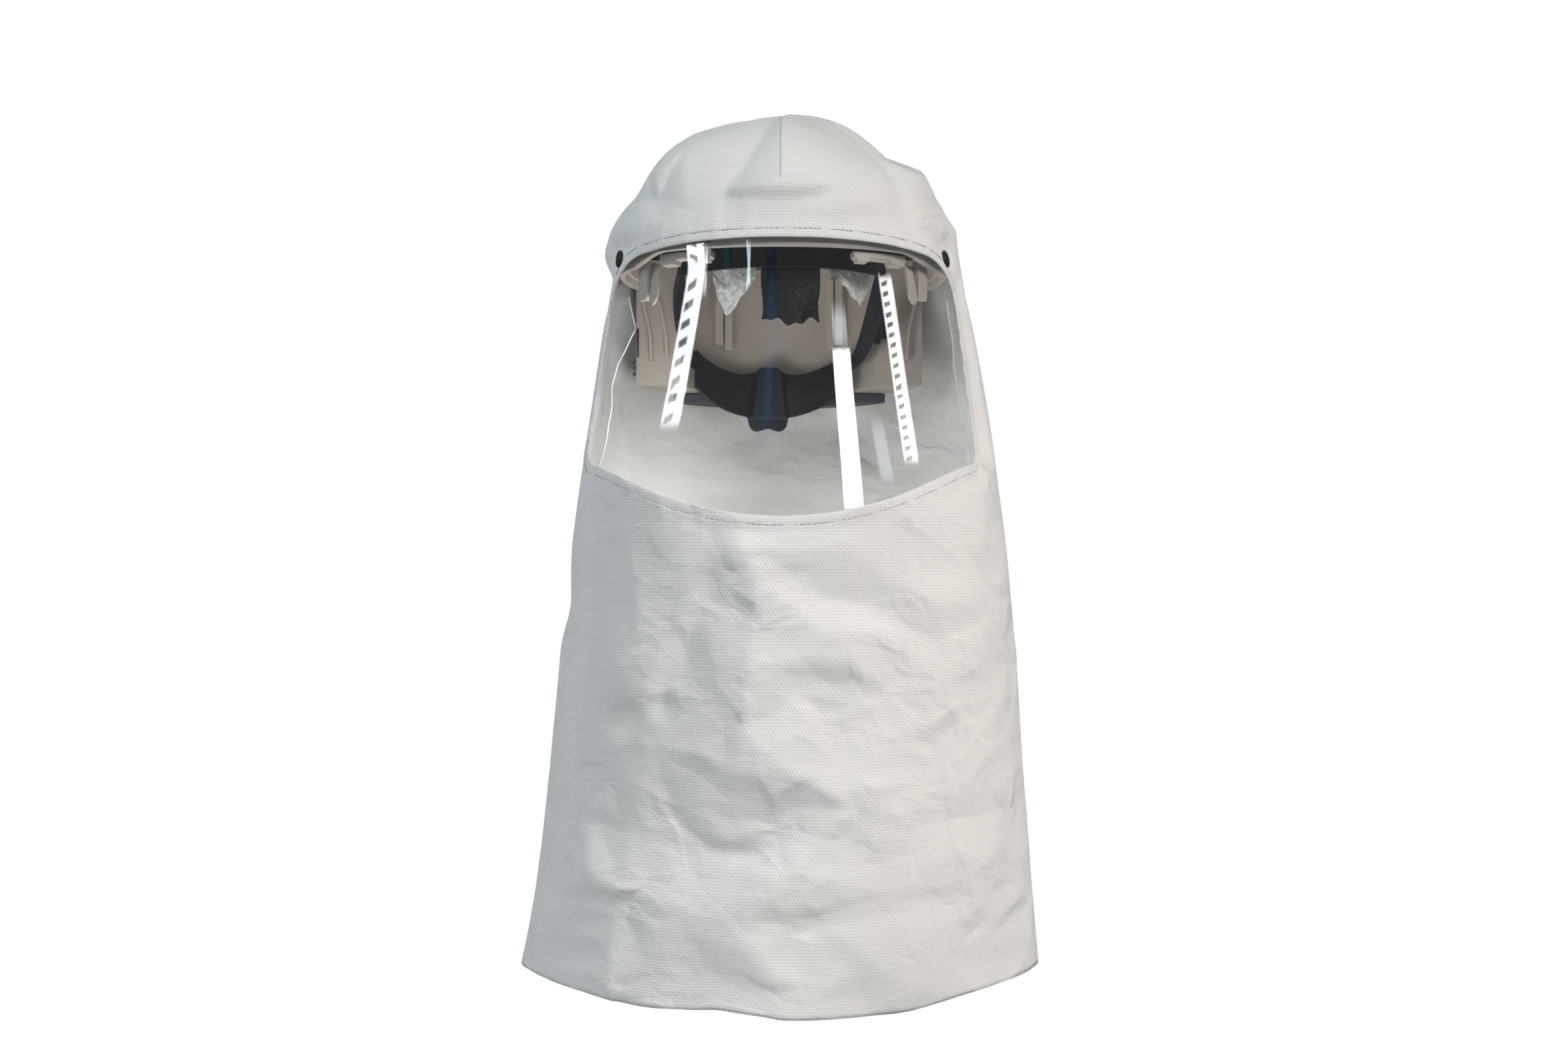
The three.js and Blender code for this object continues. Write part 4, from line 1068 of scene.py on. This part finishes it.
def lens_lugs():
    for side, sign in SIDES:
        angle = sign * LUG_ANGLE
        v = level_at(2)
        normal = hood_normal(angle, v)
        turn = math.atan2(normal[0], -normal[1])
        across = np.array([math.cos(turn), math.sin(turn)])
        inward = np.array([-math.sin(turn), math.cos(turn)])
        seat = on_hood(angle, 2, 12.9)[:2]

        def upright(outline, near, far):
            rings = []
            for depth in (near, far):
                flat = seat + outline[:, :1] * across + depth * inward
                rings.append(np.concatenate([flat, outline[:, 1:]], 1))
            return rings

        outline = rounded_foot(7.4, -24, 3)
        back = rounded_foot(6.2, -21, 2.5)
        runs = [upright(outline, 0, 3.6), upright(back, 3.4, 5.2), upright(outline * (0.96, 0.97), 5.0, 8)]
        name = f"lens_lug_{side}"
        soften(loft(f"lug_{side}", runs, "helmet", stands_for=[name], slot="helmet"), 0.7)
        plate = []
        for angle in np.linspace(*PLATE_ENDS, 13)[::sign]:
            foot = -25 + 5 * ((angle - 53.7) / 2.8) ** 2
            plate.append(hood_slab(sign * angle, foot, 3, 17.5, 19.5, 6))
        name = f"lug_plate_{side}"
        soften(loft(f"lug_wing_{side}", [plate], "helmet", stands_for=[name], slot="helmet"), 0.4)


def lens_tab():
    rings = []
    for share in np.linspace(-1, 1, 25):
        across = math.sin(share * math.pi / 2)
        foot = -4 + 7 * (1 - math.sqrt(max(1 - across**2, 0)))
        rings.append(hood_slab(TAB_ANGLE + 3.4 * across, foot, 17, 4, 5.2, 3))
    loft("clear_tab", [rings], "tab", stands_for=["lens_tab"], slot="lens")
    centre = on_hood(RIVET_ANGLE, RIVET_Z, 3.9)
    profile = [(1.0, -0.4), (1.9, -0.3), (2.1, 0.3), (1.8, 1.1), (1.1, 1.7), (0, 1.9)]
    outwards = hood_normal(RIVET_ANGLE, level_at(RIVET_Z))
    loft("tab_rivet", [turned(profile, 24, centre, outwards)], "rivet")


def housing_point(plan, share, z):
    start = math.asin((HOUSING_FRONT / plan["back"]) ** (plan["roundness"] / 2))
    turn = lerp(start, math.pi - start, share)
    x = plan["half"] * squared(np.cos(turn), plan["roundness"])
    y = plan["back"] * squared(np.sin(turn), plan["roundness"])
    return np.array([float(x), float(y), float(z)])


def housing_low(y):
    return lerp(-74.5, -80, (y - HOUSING_FRONT) / (HOUSING_OUTER["back"] - HOUSING_FRONT))


FLANGE_RUNS = (
    ((106, -3), (101.5, -21), (98.5, -36), (97.5, -56)),
    ((92, -9), (89, -23), (86.5, -36), (85.5, -52)),
)


def rear_housing():
    body = []
    for share in np.linspace(0, 1, 61):
        outer, inner = (housing_point(plan, share, 0) for plan in (HOUSING_OUTER, HOUSING_INNER))
        ring = []
        for point, z in ((outer, 0), (outer, 1), (inner, 1), (inner, 0)):
            ring.append((point[0], point[1], lerp(housing_low(point[1]), HOUSING_TOP, z)))
        body.append(ring)
    runs = [body]
    for _, sign in SIDES:
        for knots in FLANGE_RUNS:
            knots = np.array(knots, float)
            t = np.linspace(0, 3, 25)
            x = np.interp(t, range(4), knots[:, 0])
            z = np.interp(t, range(4), knots[:, 1])
            for _ in range(3):
                x[1:-1] = (x[:-2] + x[1:-1] + x[2:]) / 3
            rings = []
            for px, pz in zip(sign * x, z):
                rings.append([(px - 1.3, 49, pz), (px + 1.3, 49, pz), (px + 1.3, 57, pz), (px - 1.3, 57, pz)])
            runs.append(rings)
        for px, py, half, low, high in ((50, 95, 3.3, -40, 12), (42.4, 101, 3.2, -43.5, 12)):
            turn = -math.atan2(sign * px, py)
            runs.append(box_rings((sign * px, py, (low + high) / 2), (half, 7, (high - low) / 2), turn))
    for k in range(5):
        runs.append(box_rings((30 + 0.4 * k, 114.5, -24 - 4.6 * k), (4.2, 0.9, 0.5), -0.25))
    housing = loft("breathing_housing", runs, "helmet", stands_for=["rear_housing"], slot="helmet")
    soften(housing, 0.9)
    # A dark bar and three dark discs on the housing's front stand in for a slit and holes: painted shade
    # where the gaps are.
    gap_shades = [box_rings((-108.2, 54.6, -42), (0.8, 0.5, 11), 0)]
    peg = [(0, -0.4), (1.2, -0.4), (1.2, 0.4), (0, 0.4)]
    for k in range(3):
        gap_shades.append(turned(peg, 12, (-111, 54.9, -57 - 4.4 * k), (0, 1, 0)))
    for k, run in enumerate(gap_shades):
        loft(f"housing_gap_shade_{k}", [run], "seal")
    return housing


def housing_seal():
    outer = dict(HOUSING_OUTER, half=114, back=128)
    rings = []
    for share in np.linspace(0.17, 0.83, 49):
        ring = []
        for plan, drop in ((outer, 8), (outer, 0.3), (HOUSING_INNER, 0.3), (HOUSING_INNER, 8)):
            point = housing_point(plan, share, 0)
            ring.append((point[0], point[1], housing_low(point[1]) - drop))
        rings.append(ring)
    seal = soften(loft("seal_strip", [rings], "seal", stands_for=["housing_seal"], slot="seal"), 1.2)


def side_pad():
    y = HOUSING_FRONT - 3.3
    runs = [
        box_rings((75, y, -22), (8, 3, 3)),
        box_rings((69, y, -32), (2, 3, 11)),
        box_rings((75, y - 0.6, -34), (2.6, 2.4, 9)),
        box_rings((81, y, -30), (2, 3, 9)),
    ]
    soften(loft("side_clip", runs, "band", stands_for=["side_pad"], slot="band"), 0.8)


# Headband

BAND_YAW = math.radians(5)
BAND_WALL, BAND_FRONT, BAND_BACK = 2.4, 93, 97
NAPE_HALF = 2  # half of the nape band's wall
STRAP_START, STRAP_END = 62.4, 126.5
KNOB_Z, KNOB_RADIUS, KNOB_LOBES, HUB_RADIUS = -86, 21.5, 6, 5
HOOK_ANGLE = 57


def yawed(x, y, z):
    """Points turned about Z by the headband's yaw."""
    c, s = math.cos(BAND_YAW), math.sin(BAND_YAW)
    return np.stack(np.broadcast_arrays(x * c - y * s, x * s + y * c, z), -1)


def band_point(angle, z, out):
    turn = math.radians(angle)
    side, ahead = math.sin(turn), math.cos(turn)
    depth = BAND_FRONT if ahead > 0 else BAND_BACK
    half = lerp(80, 73, float(smoothstep(-ahead, -0.5, 0.5)))
    return yawed((half + out) * side, -(depth + out) * ahead, z)


def brow_band():
    rings = []
    for angle in np.linspace(-62, 62, 73):
        low, high, half = -5, 24, BAND_WALL / 2
        outline = [
            (low, half), (high, half), (high, -half), (high - 7, -half), (high - 8, -half + 0.5),
            (low + 7, -half + 0.5), (low + 6, -half), (low, -half),
        ]
        rings.append([band_point(angle, z, out) for z, out in outline])
    soften(loft("brow_strip", [rings], "band", stands_for=["brow_band"], slot="band"), 0.6)


def strap_edges(angle):
    share = (angle - STRAP_START) / (STRAP_END - STRAP_START)
    middle = lerp(8, -58, float(smoothstep(angle, STRAP_START, STRAP_END)))
    half = lerp(13, 4.5, max(share, 0) ** 0.6)
    return middle - half, middle + half, 8 * math.sin(math.pi * share)


def side_straps():
    for side, sign in SIDES:
        rings = []
        for angle in np.linspace(STRAP_START, STRAP_END, 49):
            low, high, lean = strap_edges(angle)
            outer = [(share, BAND_WALL / 2) for share in np.linspace(0, 1, 5)]
            inner = [(share, -BAND_WALL / 2) for share in np.linspace(1, 0, 5)]
            ring = outer + inner
            rings.append([band_point(sign * angle, lerp(low, high, up), out - lean * up) for up, out in ring])
        name = f"side_strap_{side}"
        soften(loft(f"strap_{side}", [rings], "band", stands_for=[name], slot="band"), 0.6)


def nape_edges(angle):
    share = (angle - 180) / 53
    bump = 8 * math.exp(-((share / 0.22) ** 2))
    return -98 + 22 * share**2, -66 + bump + 18 * share**2


def nape_band():
    rings = []
    for angle in np.linspace(127, 233, 73):
        low, high = nape_edges(angle)
        outline = [
            (low, 2), (high, 2), (high, -1.4), (high - 2, -2), (low + 6.5, -2), (low + 6, -1.3),
            (low + 4.6, -1.3), (low + 4.2, -2), (low, -2),
        ]
        rings.append([band_point(angle, z, out) for z, out in outline])
    soften(loft("nape_strip", [rings], "band", stands_for=["nape_band"], slot="band"), 0.5)


def knob_cover():
    far = BAND_BACK - NAPE_HALF - 2
    near = far - 6
    outline = [(-6, -58), (-8.8, -59.2), (-10, -64), (-14.5, -99)]
    outline = np.array(outline + [(-x, z) for x, z in outline[::-1]])
    rings = []
    for y, grow in ((far, 1.0), (near + 1.5, 1.0), (near, 0.86)):
        rings.append(yawed(outline[:, 0] * grow, y, -78 + (outline[:, 1] + 78) * (0.5 + 0.5 * grow)))
    soften(loft("knob_shroud", [rings], "knob", stands_for=["knob_cover"], slot="knob"), 0.8)


def nape_knob():
    turn = np.linspace(0, 2 * np.pi, 120, endpoint=False)
    radius = KNOB_RADIUS - 2.2 * np.cos(KNOB_LOBES * turn)
    face = BAND_BACK + NAPE_HALF + 0.3
    steps = ((0.93, 0), (1.0, 1.4), (1.0, 8.6), (0.95, 10.3), (0.86, 11), (0.6, 11), (0.52, 9.6))
    rings = []
    for size, depth in steps:
        rings.append(yawed(radius * size * np.sin(turn), face + depth, KNOB_Z + radius * size * np.cos(turn)))
    options = dict(body="knob", slot="knob")
    soften(loft("knob_grip", [rings], "knob", stands_for=["nape_knob"], **options), 0.4)
    hub = turned([(HUB_RADIUS, -5), (HUB_RADIUS, 1)], 32, yawed(0, face, KNOB_Z), yawed(0, 1, 0))
    loft("knob_hub", [hub], "knob", **options)


def crinkled_sheet(name, finish, columns, rows, spot, crinkle, stands_for, slot):
    """A thin crumpled sheet, spot(across, up) giving an angle, a height and a depth on the headband."""
    spans = ((0, 1), (0, 1), (0, np.pi), (-1, 1))  # of a bump's place, lean and size
    bumps = [[chance.uniform(*span) for span in spans] for _ in range(36)]
    points = []
    for j in range(rows + 1):
        for i in range(columns + 1):
            u, w = i / columns, j / rows
            push = 0.0
            for bu, bw, lean, size in bumps:
                across = (u - bu) * math.cos(lean) + (w - bw) * math.sin(lean)
                along = (w - bw) * math.cos(lean) - (u - bu) * math.sin(lean)
                push += size * math.exp(-abs(across) / 0.06 - (along / 0.22) ** 2)
            angle, z, out = spot(u, w)
            points.append(band_point(angle, z, out - abs(push) * crinkle * (1 - 0.8 * w)))
    options = dict(stands_for=stands_for, slot=slot, outwards=False)
    sheet = make_piece(name, points, grid_faces(rows, columns), finish, **options)
    thicken(sheet, 0.4, 0)
    return sheet


def comfort_flap():
    def spot(u, w):
        ragged = 2.2 * math.sin(u * 9) + 1.2 * math.sin(u * 23 + 1)
        squeeze = 1 - 0.06 * (1 - w) * math.sin(w * 7)
        angle = lerp(-14.5, 15.5, 0.5 + (u - 0.5) * squeeze)
        return angle, lerp(-42 + ragged * (1 - w), 6, w), -2.2

    sheet = crinkled_sheet("flap_sheet", "flap", 56, 60, spot, 3.6, ["comfort_flap"], "flap")


FILM_EDGES = {
    "left": (-42, -17.5, ((0, -14), (0.12, -22), (0.3, -35), (0.45, -36), (0.62, -27), (0.8, -19), (1, -12))),
    "right": (18, 51, ((0, -6), (0.2, -9), (0.38, -14), (0.55, -22), (0.72, -28), (0.88, -20), (1, -8))),
}


def pad_films():
    for side, (start, end, edge) in FILM_EDGES.items():
        edge = np.array(edge)

        def spot(u, w):
            foot = np.interp(u, edge[:, 0], edge[:, 1]) + 0.9 * math.sin(u * 31)
            return lerp(start, end, u), lerp(float(foot), 4, w), -2.3

        sheet = crinkled_sheet(f"film_{side}", "film", 60, 44, spot, 2.0, [f"pad_film_{side}"], "film")


def band_hooks():
    for side, sign in SIDES:
        angle = sign * HOOK_ANGLE
        rim = on_hood(angle, 13, RIM_INSET + RIM_DEPTH + 0.3)
        band = band_point(angle - math.degrees(BAND_YAW), 0, BAND_WALL / 2 + 0.3)
        run = rim[:2] - band[:2]
        length = np.linalg.norm(run)
        middle = band[:2] + run * (1 - 1 / length) / 2
        turn = math.atan2(run[1], run[0])
        rings = box_rings((*middle, 8.5), ((length - 1) / 2, 2, 4.5), turn)
        name = f"band_hook_{side}"
        soften(loft(f"hook_{side}", [rings], "band", stands_for=[name], slot="band"), 0.6)


cloth = hood_cloth()
stitches = window_stitches()
lens = face_lens()
lens_edges()
snaps()
brow_rim()
helmet_shell()
lens_rails()
lens_lugs()
lens_tab()
housing = rear_housing()
housing_seal()
side_pad()
brow_band()
side_straps()
nape_band()
knob_cover()
nape_knob()
comfort_flap()
pad_films()
band_hooks()

# Studio


def studio_paint(name, colour, glow):
    paint = Paint(name)
    tone = paint.noise(900, 2)
    base = paint.mix(tone, colour, tuple(0.98 * c for c in colour))
    seen_from_room = 1 - paint.add("NewGeometry", {}, "Backfacing")
    others = {"Emission_Color": (1, 1, 1), "Emission_Strength": glow, "Alpha": seen_from_room}
    return paint.finish(paint.surface(base, 0.9, **others))


def studio_wall(name, corners, material, casts_shadow=True):
    """A flat sheet of the studio that is seen but throws no light on the hood."""
    wall = mesh_object(name, corners, [(0, 1, 2, 3)], material)
    wall.visible_diffuse = False
    wall.visible_glossy = False
    wall.visible_shadow = casts_shadow


# The studio, in metres
FLOOR_Z, CEILING_Z = -0.95, 3
ROOM_HALF, ROOM_FRONT, ROOM_BACK = 4, -6, 1.05


def studio_room():
    floor_paper = studio_paint("floor_paper", (0.86, 0.86, 0.85), 0.5)
    backdrop_paper = studio_paint("backdrop_paper", (0.2, 0.2, 0.2), 0.98)
    left, right = (-ROOM_HALF, ROOM_FRONT), (ROOM_HALF, ROOM_FRONT)
    far_left, far_right = (-ROOM_HALF, ROOM_BACK), (ROOM_HALF, ROOM_BACK)

    def upright(start, end):
        return [(*start, FLOOR_Z), (*end, FLOOR_Z), (*end, CEILING_Z), (*start, CEILING_Z)]

    def level(z):
        return [(*left, z), (*right, z), (*far_right, z), (*far_left, z)]

    studio_wall("studio_floor", level(FLOOR_Z), floor_paper)
    studio_wall("studio_backdrop", upright(far_left, far_right), backdrop_paper)
    shadowless = {
        "studio_front": upright(right, left),
        "studio_left": upright(left, far_left),
        "studio_right": upright(far_right, right),
        "studio_ceiling": level(CEILING_Z)[::-1],
    }
    for name, corners in shadowless.items():
        studio_wall(name, corners, backdrop_paper, False)


def set_world():
    world = bpy.data.worlds.new("studio")
    world.use_nodes = True
    sky = world.node_tree.nodes["Background"]
    sky.inputs["Color"].default_value = (0.86, 0.95, 1.0, 1)
    sky.inputs["Strength"].default_value = 0.14
    bpy.context.scene.world = world


def panel(name, middle, look_at, size, radiance, colour, beam=180):
    """A soft rectangular light, whose beam may be narrowed to this many degrees."""
    light = bpy.data.lights.new(name, "AREA")
    light.shape = "RECTANGLE"
    light.size, light.size_y = size
    light.energy = radiance * math.pi * size[0] * size[1]
    light.color = colour
    light.spread = math.radians(beam)
    lamp = bpy.data.objects.new(name, light)
    lamp.location = middle
    lamp.visible_camera = False
    lamp.rotation_euler = (Vector(look_at) - Vector(middle)).to_track_quat("-Z", "Y").to_euler()
    bpy.context.scene.collection.objects.link(lamp)
    return lamp


def lit_but(name, *pieces):
    """A list of what a light falls on: everything but these pieces."""
    lit = bpy.data.collections.new(name)
    for k, piece in enumerate(pieces):
        lit.objects.link(piece)
        lit.collection_objects[k].light_linking.link_state = "EXCLUDE"
    return lit


def mirrored(angle, z, distance):
    """Where something must stand to be seen from the camera in this spot of the lens."""
    spot = on_hood(angle, z, LENS_INSET)
    normal = hood_normal(angle, level_at(z))
    sight = spot - np.array(EYE)
    sight /= np.linalg.norm(sight)
    away = sight - 2 * np.dot(sight, normal) * normal
    return (spot + away * distance) * MM


TUBE_DISTANCE = 1200  # from the lens, in millimetres
STREAK_COLUMNS = ("name", "top", "foot", "width", "bars", "lit_edge", "fade", "strength", "colour")
# Streaks in the lens: top and foot are angle and height, and the width is in degrees. The share of the
# width that is lit without bars lies at the right. The fade is the share of the length lost at each end.
STREAKS = (
    ("left_tube", (-24.9, 8), (-30.2, -120), 6.8, 10, 0.4, 0.1, 11, (0.93, 0.97, 1.0)),
    ("middle_panel_top", (14.5, -30), (14.9, -70), 4.6, 0, 1.0, 0.4, 4, (0.9, 0.95, 1.0)),
    ("middle_panel", (14.9, -62), (16.9, -172), 5.4, 0, 1.0, 0.05, 19, (1.0, 0.99, 0.97)),
    ("right_tube", (31, -10), (35.2, -142), 5.4, 19, 0.4, 0.06, 11, (1.0, 0.98, 0.95)),
    ("low_glint", (24.3, -108), (27, -158), 4.2, 0, 1.0, 0.25, 2.4, (0.8, 0.88, 1.0)),
    ("blue_glint", (-2.6, 6), (-3.2, -150), 2.2, 0, 1.0, 0.3, 0.5, (0.22, 0.5, 1.0)),
    ("teal_glint", (-15.5, 6), (-16.5, -60), 2.4, 0, 1.0, 0.3, 0.3, (0.3, 0.8, 0.9)),
    ("thin_glint", (-8.6, 8), (-9.4, -28), 0.6, 0, 1.0, 0.2, 7, (0.75, 0.92, 1.0)),
)


def streak_paint(streak):
    """A glow with slanted dark bars and soft ends."""
    paint = Paint(streak["name"])
    right, down = (value * MM for value in paint.across())
    seen = down.ramp(0, streak["fade"]) * down.ramp(1, 1 - streak["fade"])
    seen = seen * right.ramp(0, 0.08) * right.ramp(1, 0.92)
    if streak["bars"]:
        bar = ((down * streak["bars"] + right * 0.7).fraction() - 0.5).size().ramp(0.14, 0.3)
        edge = 1 - streak["lit_edge"]
        rim = right.ramp(0.22, 0.12).most(right.ramp(edge - 0.08, edge + 0.04))
        seen = seen * (0.12 + 0.88 * bar).most(rim)
    glow = paint.mix(seen, (0, 0, 0), streak["colour"])
    others = {"Emission_Color": glow, "Emission_Strength": streak["strength"], "Specular_IOR_Level": 0}
    return paint.finish(paint.surface((0, 0, 0), 1.0, **others))


def streak_lights():
    """Light tubes, each standing where the lens mirrors it to the camera, that light only the lens."""
    mirrors = bpy.data.collections.new("mirrors")
    mirrors.objects.link(lens)
    rows, columns = 60, 12
    for streak in (dict(zip(STREAK_COLUMNS, row)) for row in STREAKS):
        corners, spots = [], []
        for down in np.linspace(0, 1, rows + 1):
            angle, z = lerp(np.array(streak["top"]), np.array(streak["foot"]), down)
            for across in np.linspace(0, 1, columns + 1):
                corners.append(mirrored(angle + (across - 0.5) * streak["width"], z, TUBE_DISTANCE))
                spots.append((across, down))
        faces = grid_faces(rows, columns)
        tube_light = mesh_object(streak["name"], corners, faces, streak_paint(streak))
        layer = tube_light.data.uv_layers.new(name="unrolled")
        layer.data.foreach_set("uv", np.array(spots)[np.array(faces).ravel()].ravel())
        tube_light.visible_camera = False
        tube_light.visible_shadow = False
        tube_light.light_linking.receiver_collection = mirrors


def studio_lights():
    unmirrored = lit_but("unmirrored", lens)
    shaded = lit_but("unmirrored_but_the_housing", lens, housing)
    ahead = (
        panel("right_softbox", (1.65, -1.65, 0.9), (0, 0, -0.5), (0.5, 0.5), 7.6, (1.0, 0.945, 0.895), 60),
        panel("front_fill", (0.1, -1.9, -0.5), (0, 0, -0.1), (1.4, 0.5), 0.8, (1.0, 0.95, 0.9)),
    )
    aside = (
        panel("left_softbox", (-1.9, -1.1, 0.7), (0, 0, -0.4), (0.8, 1.0), 3.1, (0.87, 0.935, 0.98), 90),
        panel("crown_light", (-0.7, -0.5, 1.2), (-0.03, -0.03, 0.09), (0.3, 0.3), 0.16, (0.7, 0.95, 1.0), 24),
        panel("rear_softbox", (0.3, 1.0, 0.1), (0, 0, -0.2), (0.3, 0.4), 11.0, (1.0, 0.98, 0.95)),
        panel("floor_bounce", (0, 0, -0.93), (0, 0.01, 0), (1.0, 1.0), 0.5, (0.97, 0.98, 1.0)),
        panel("cloth_fill", (0.0, -0.09, -0.3), (0, 0.1, -0.02), (0.16, 0.08), 7.2, (1.0, 0.98, 0.95)),
    )
    for lamps, lit in ((ahead, unmirrored), (aside, shaded)):
        for lamp in lamps:
            lamp.light_linking.receiver_collection = lit
    inner_place, inner_target = (-0.06, -0.1, -0.13), (-0.02, 0.1, -0.04)
    inner_fill = panel("inner_fill", inner_place, inner_target, (0.08, 0.06), 12.0, (1.0, 0.98, 0.95))
    inner_fill.light_linking.receiver_collection = lit_but("within_the_hood", lens, cloth)
    streak_lights()


studio_room()
set_world()
studio_lights()
bpy.context.scene.view_settings.view_transform = "Standard"
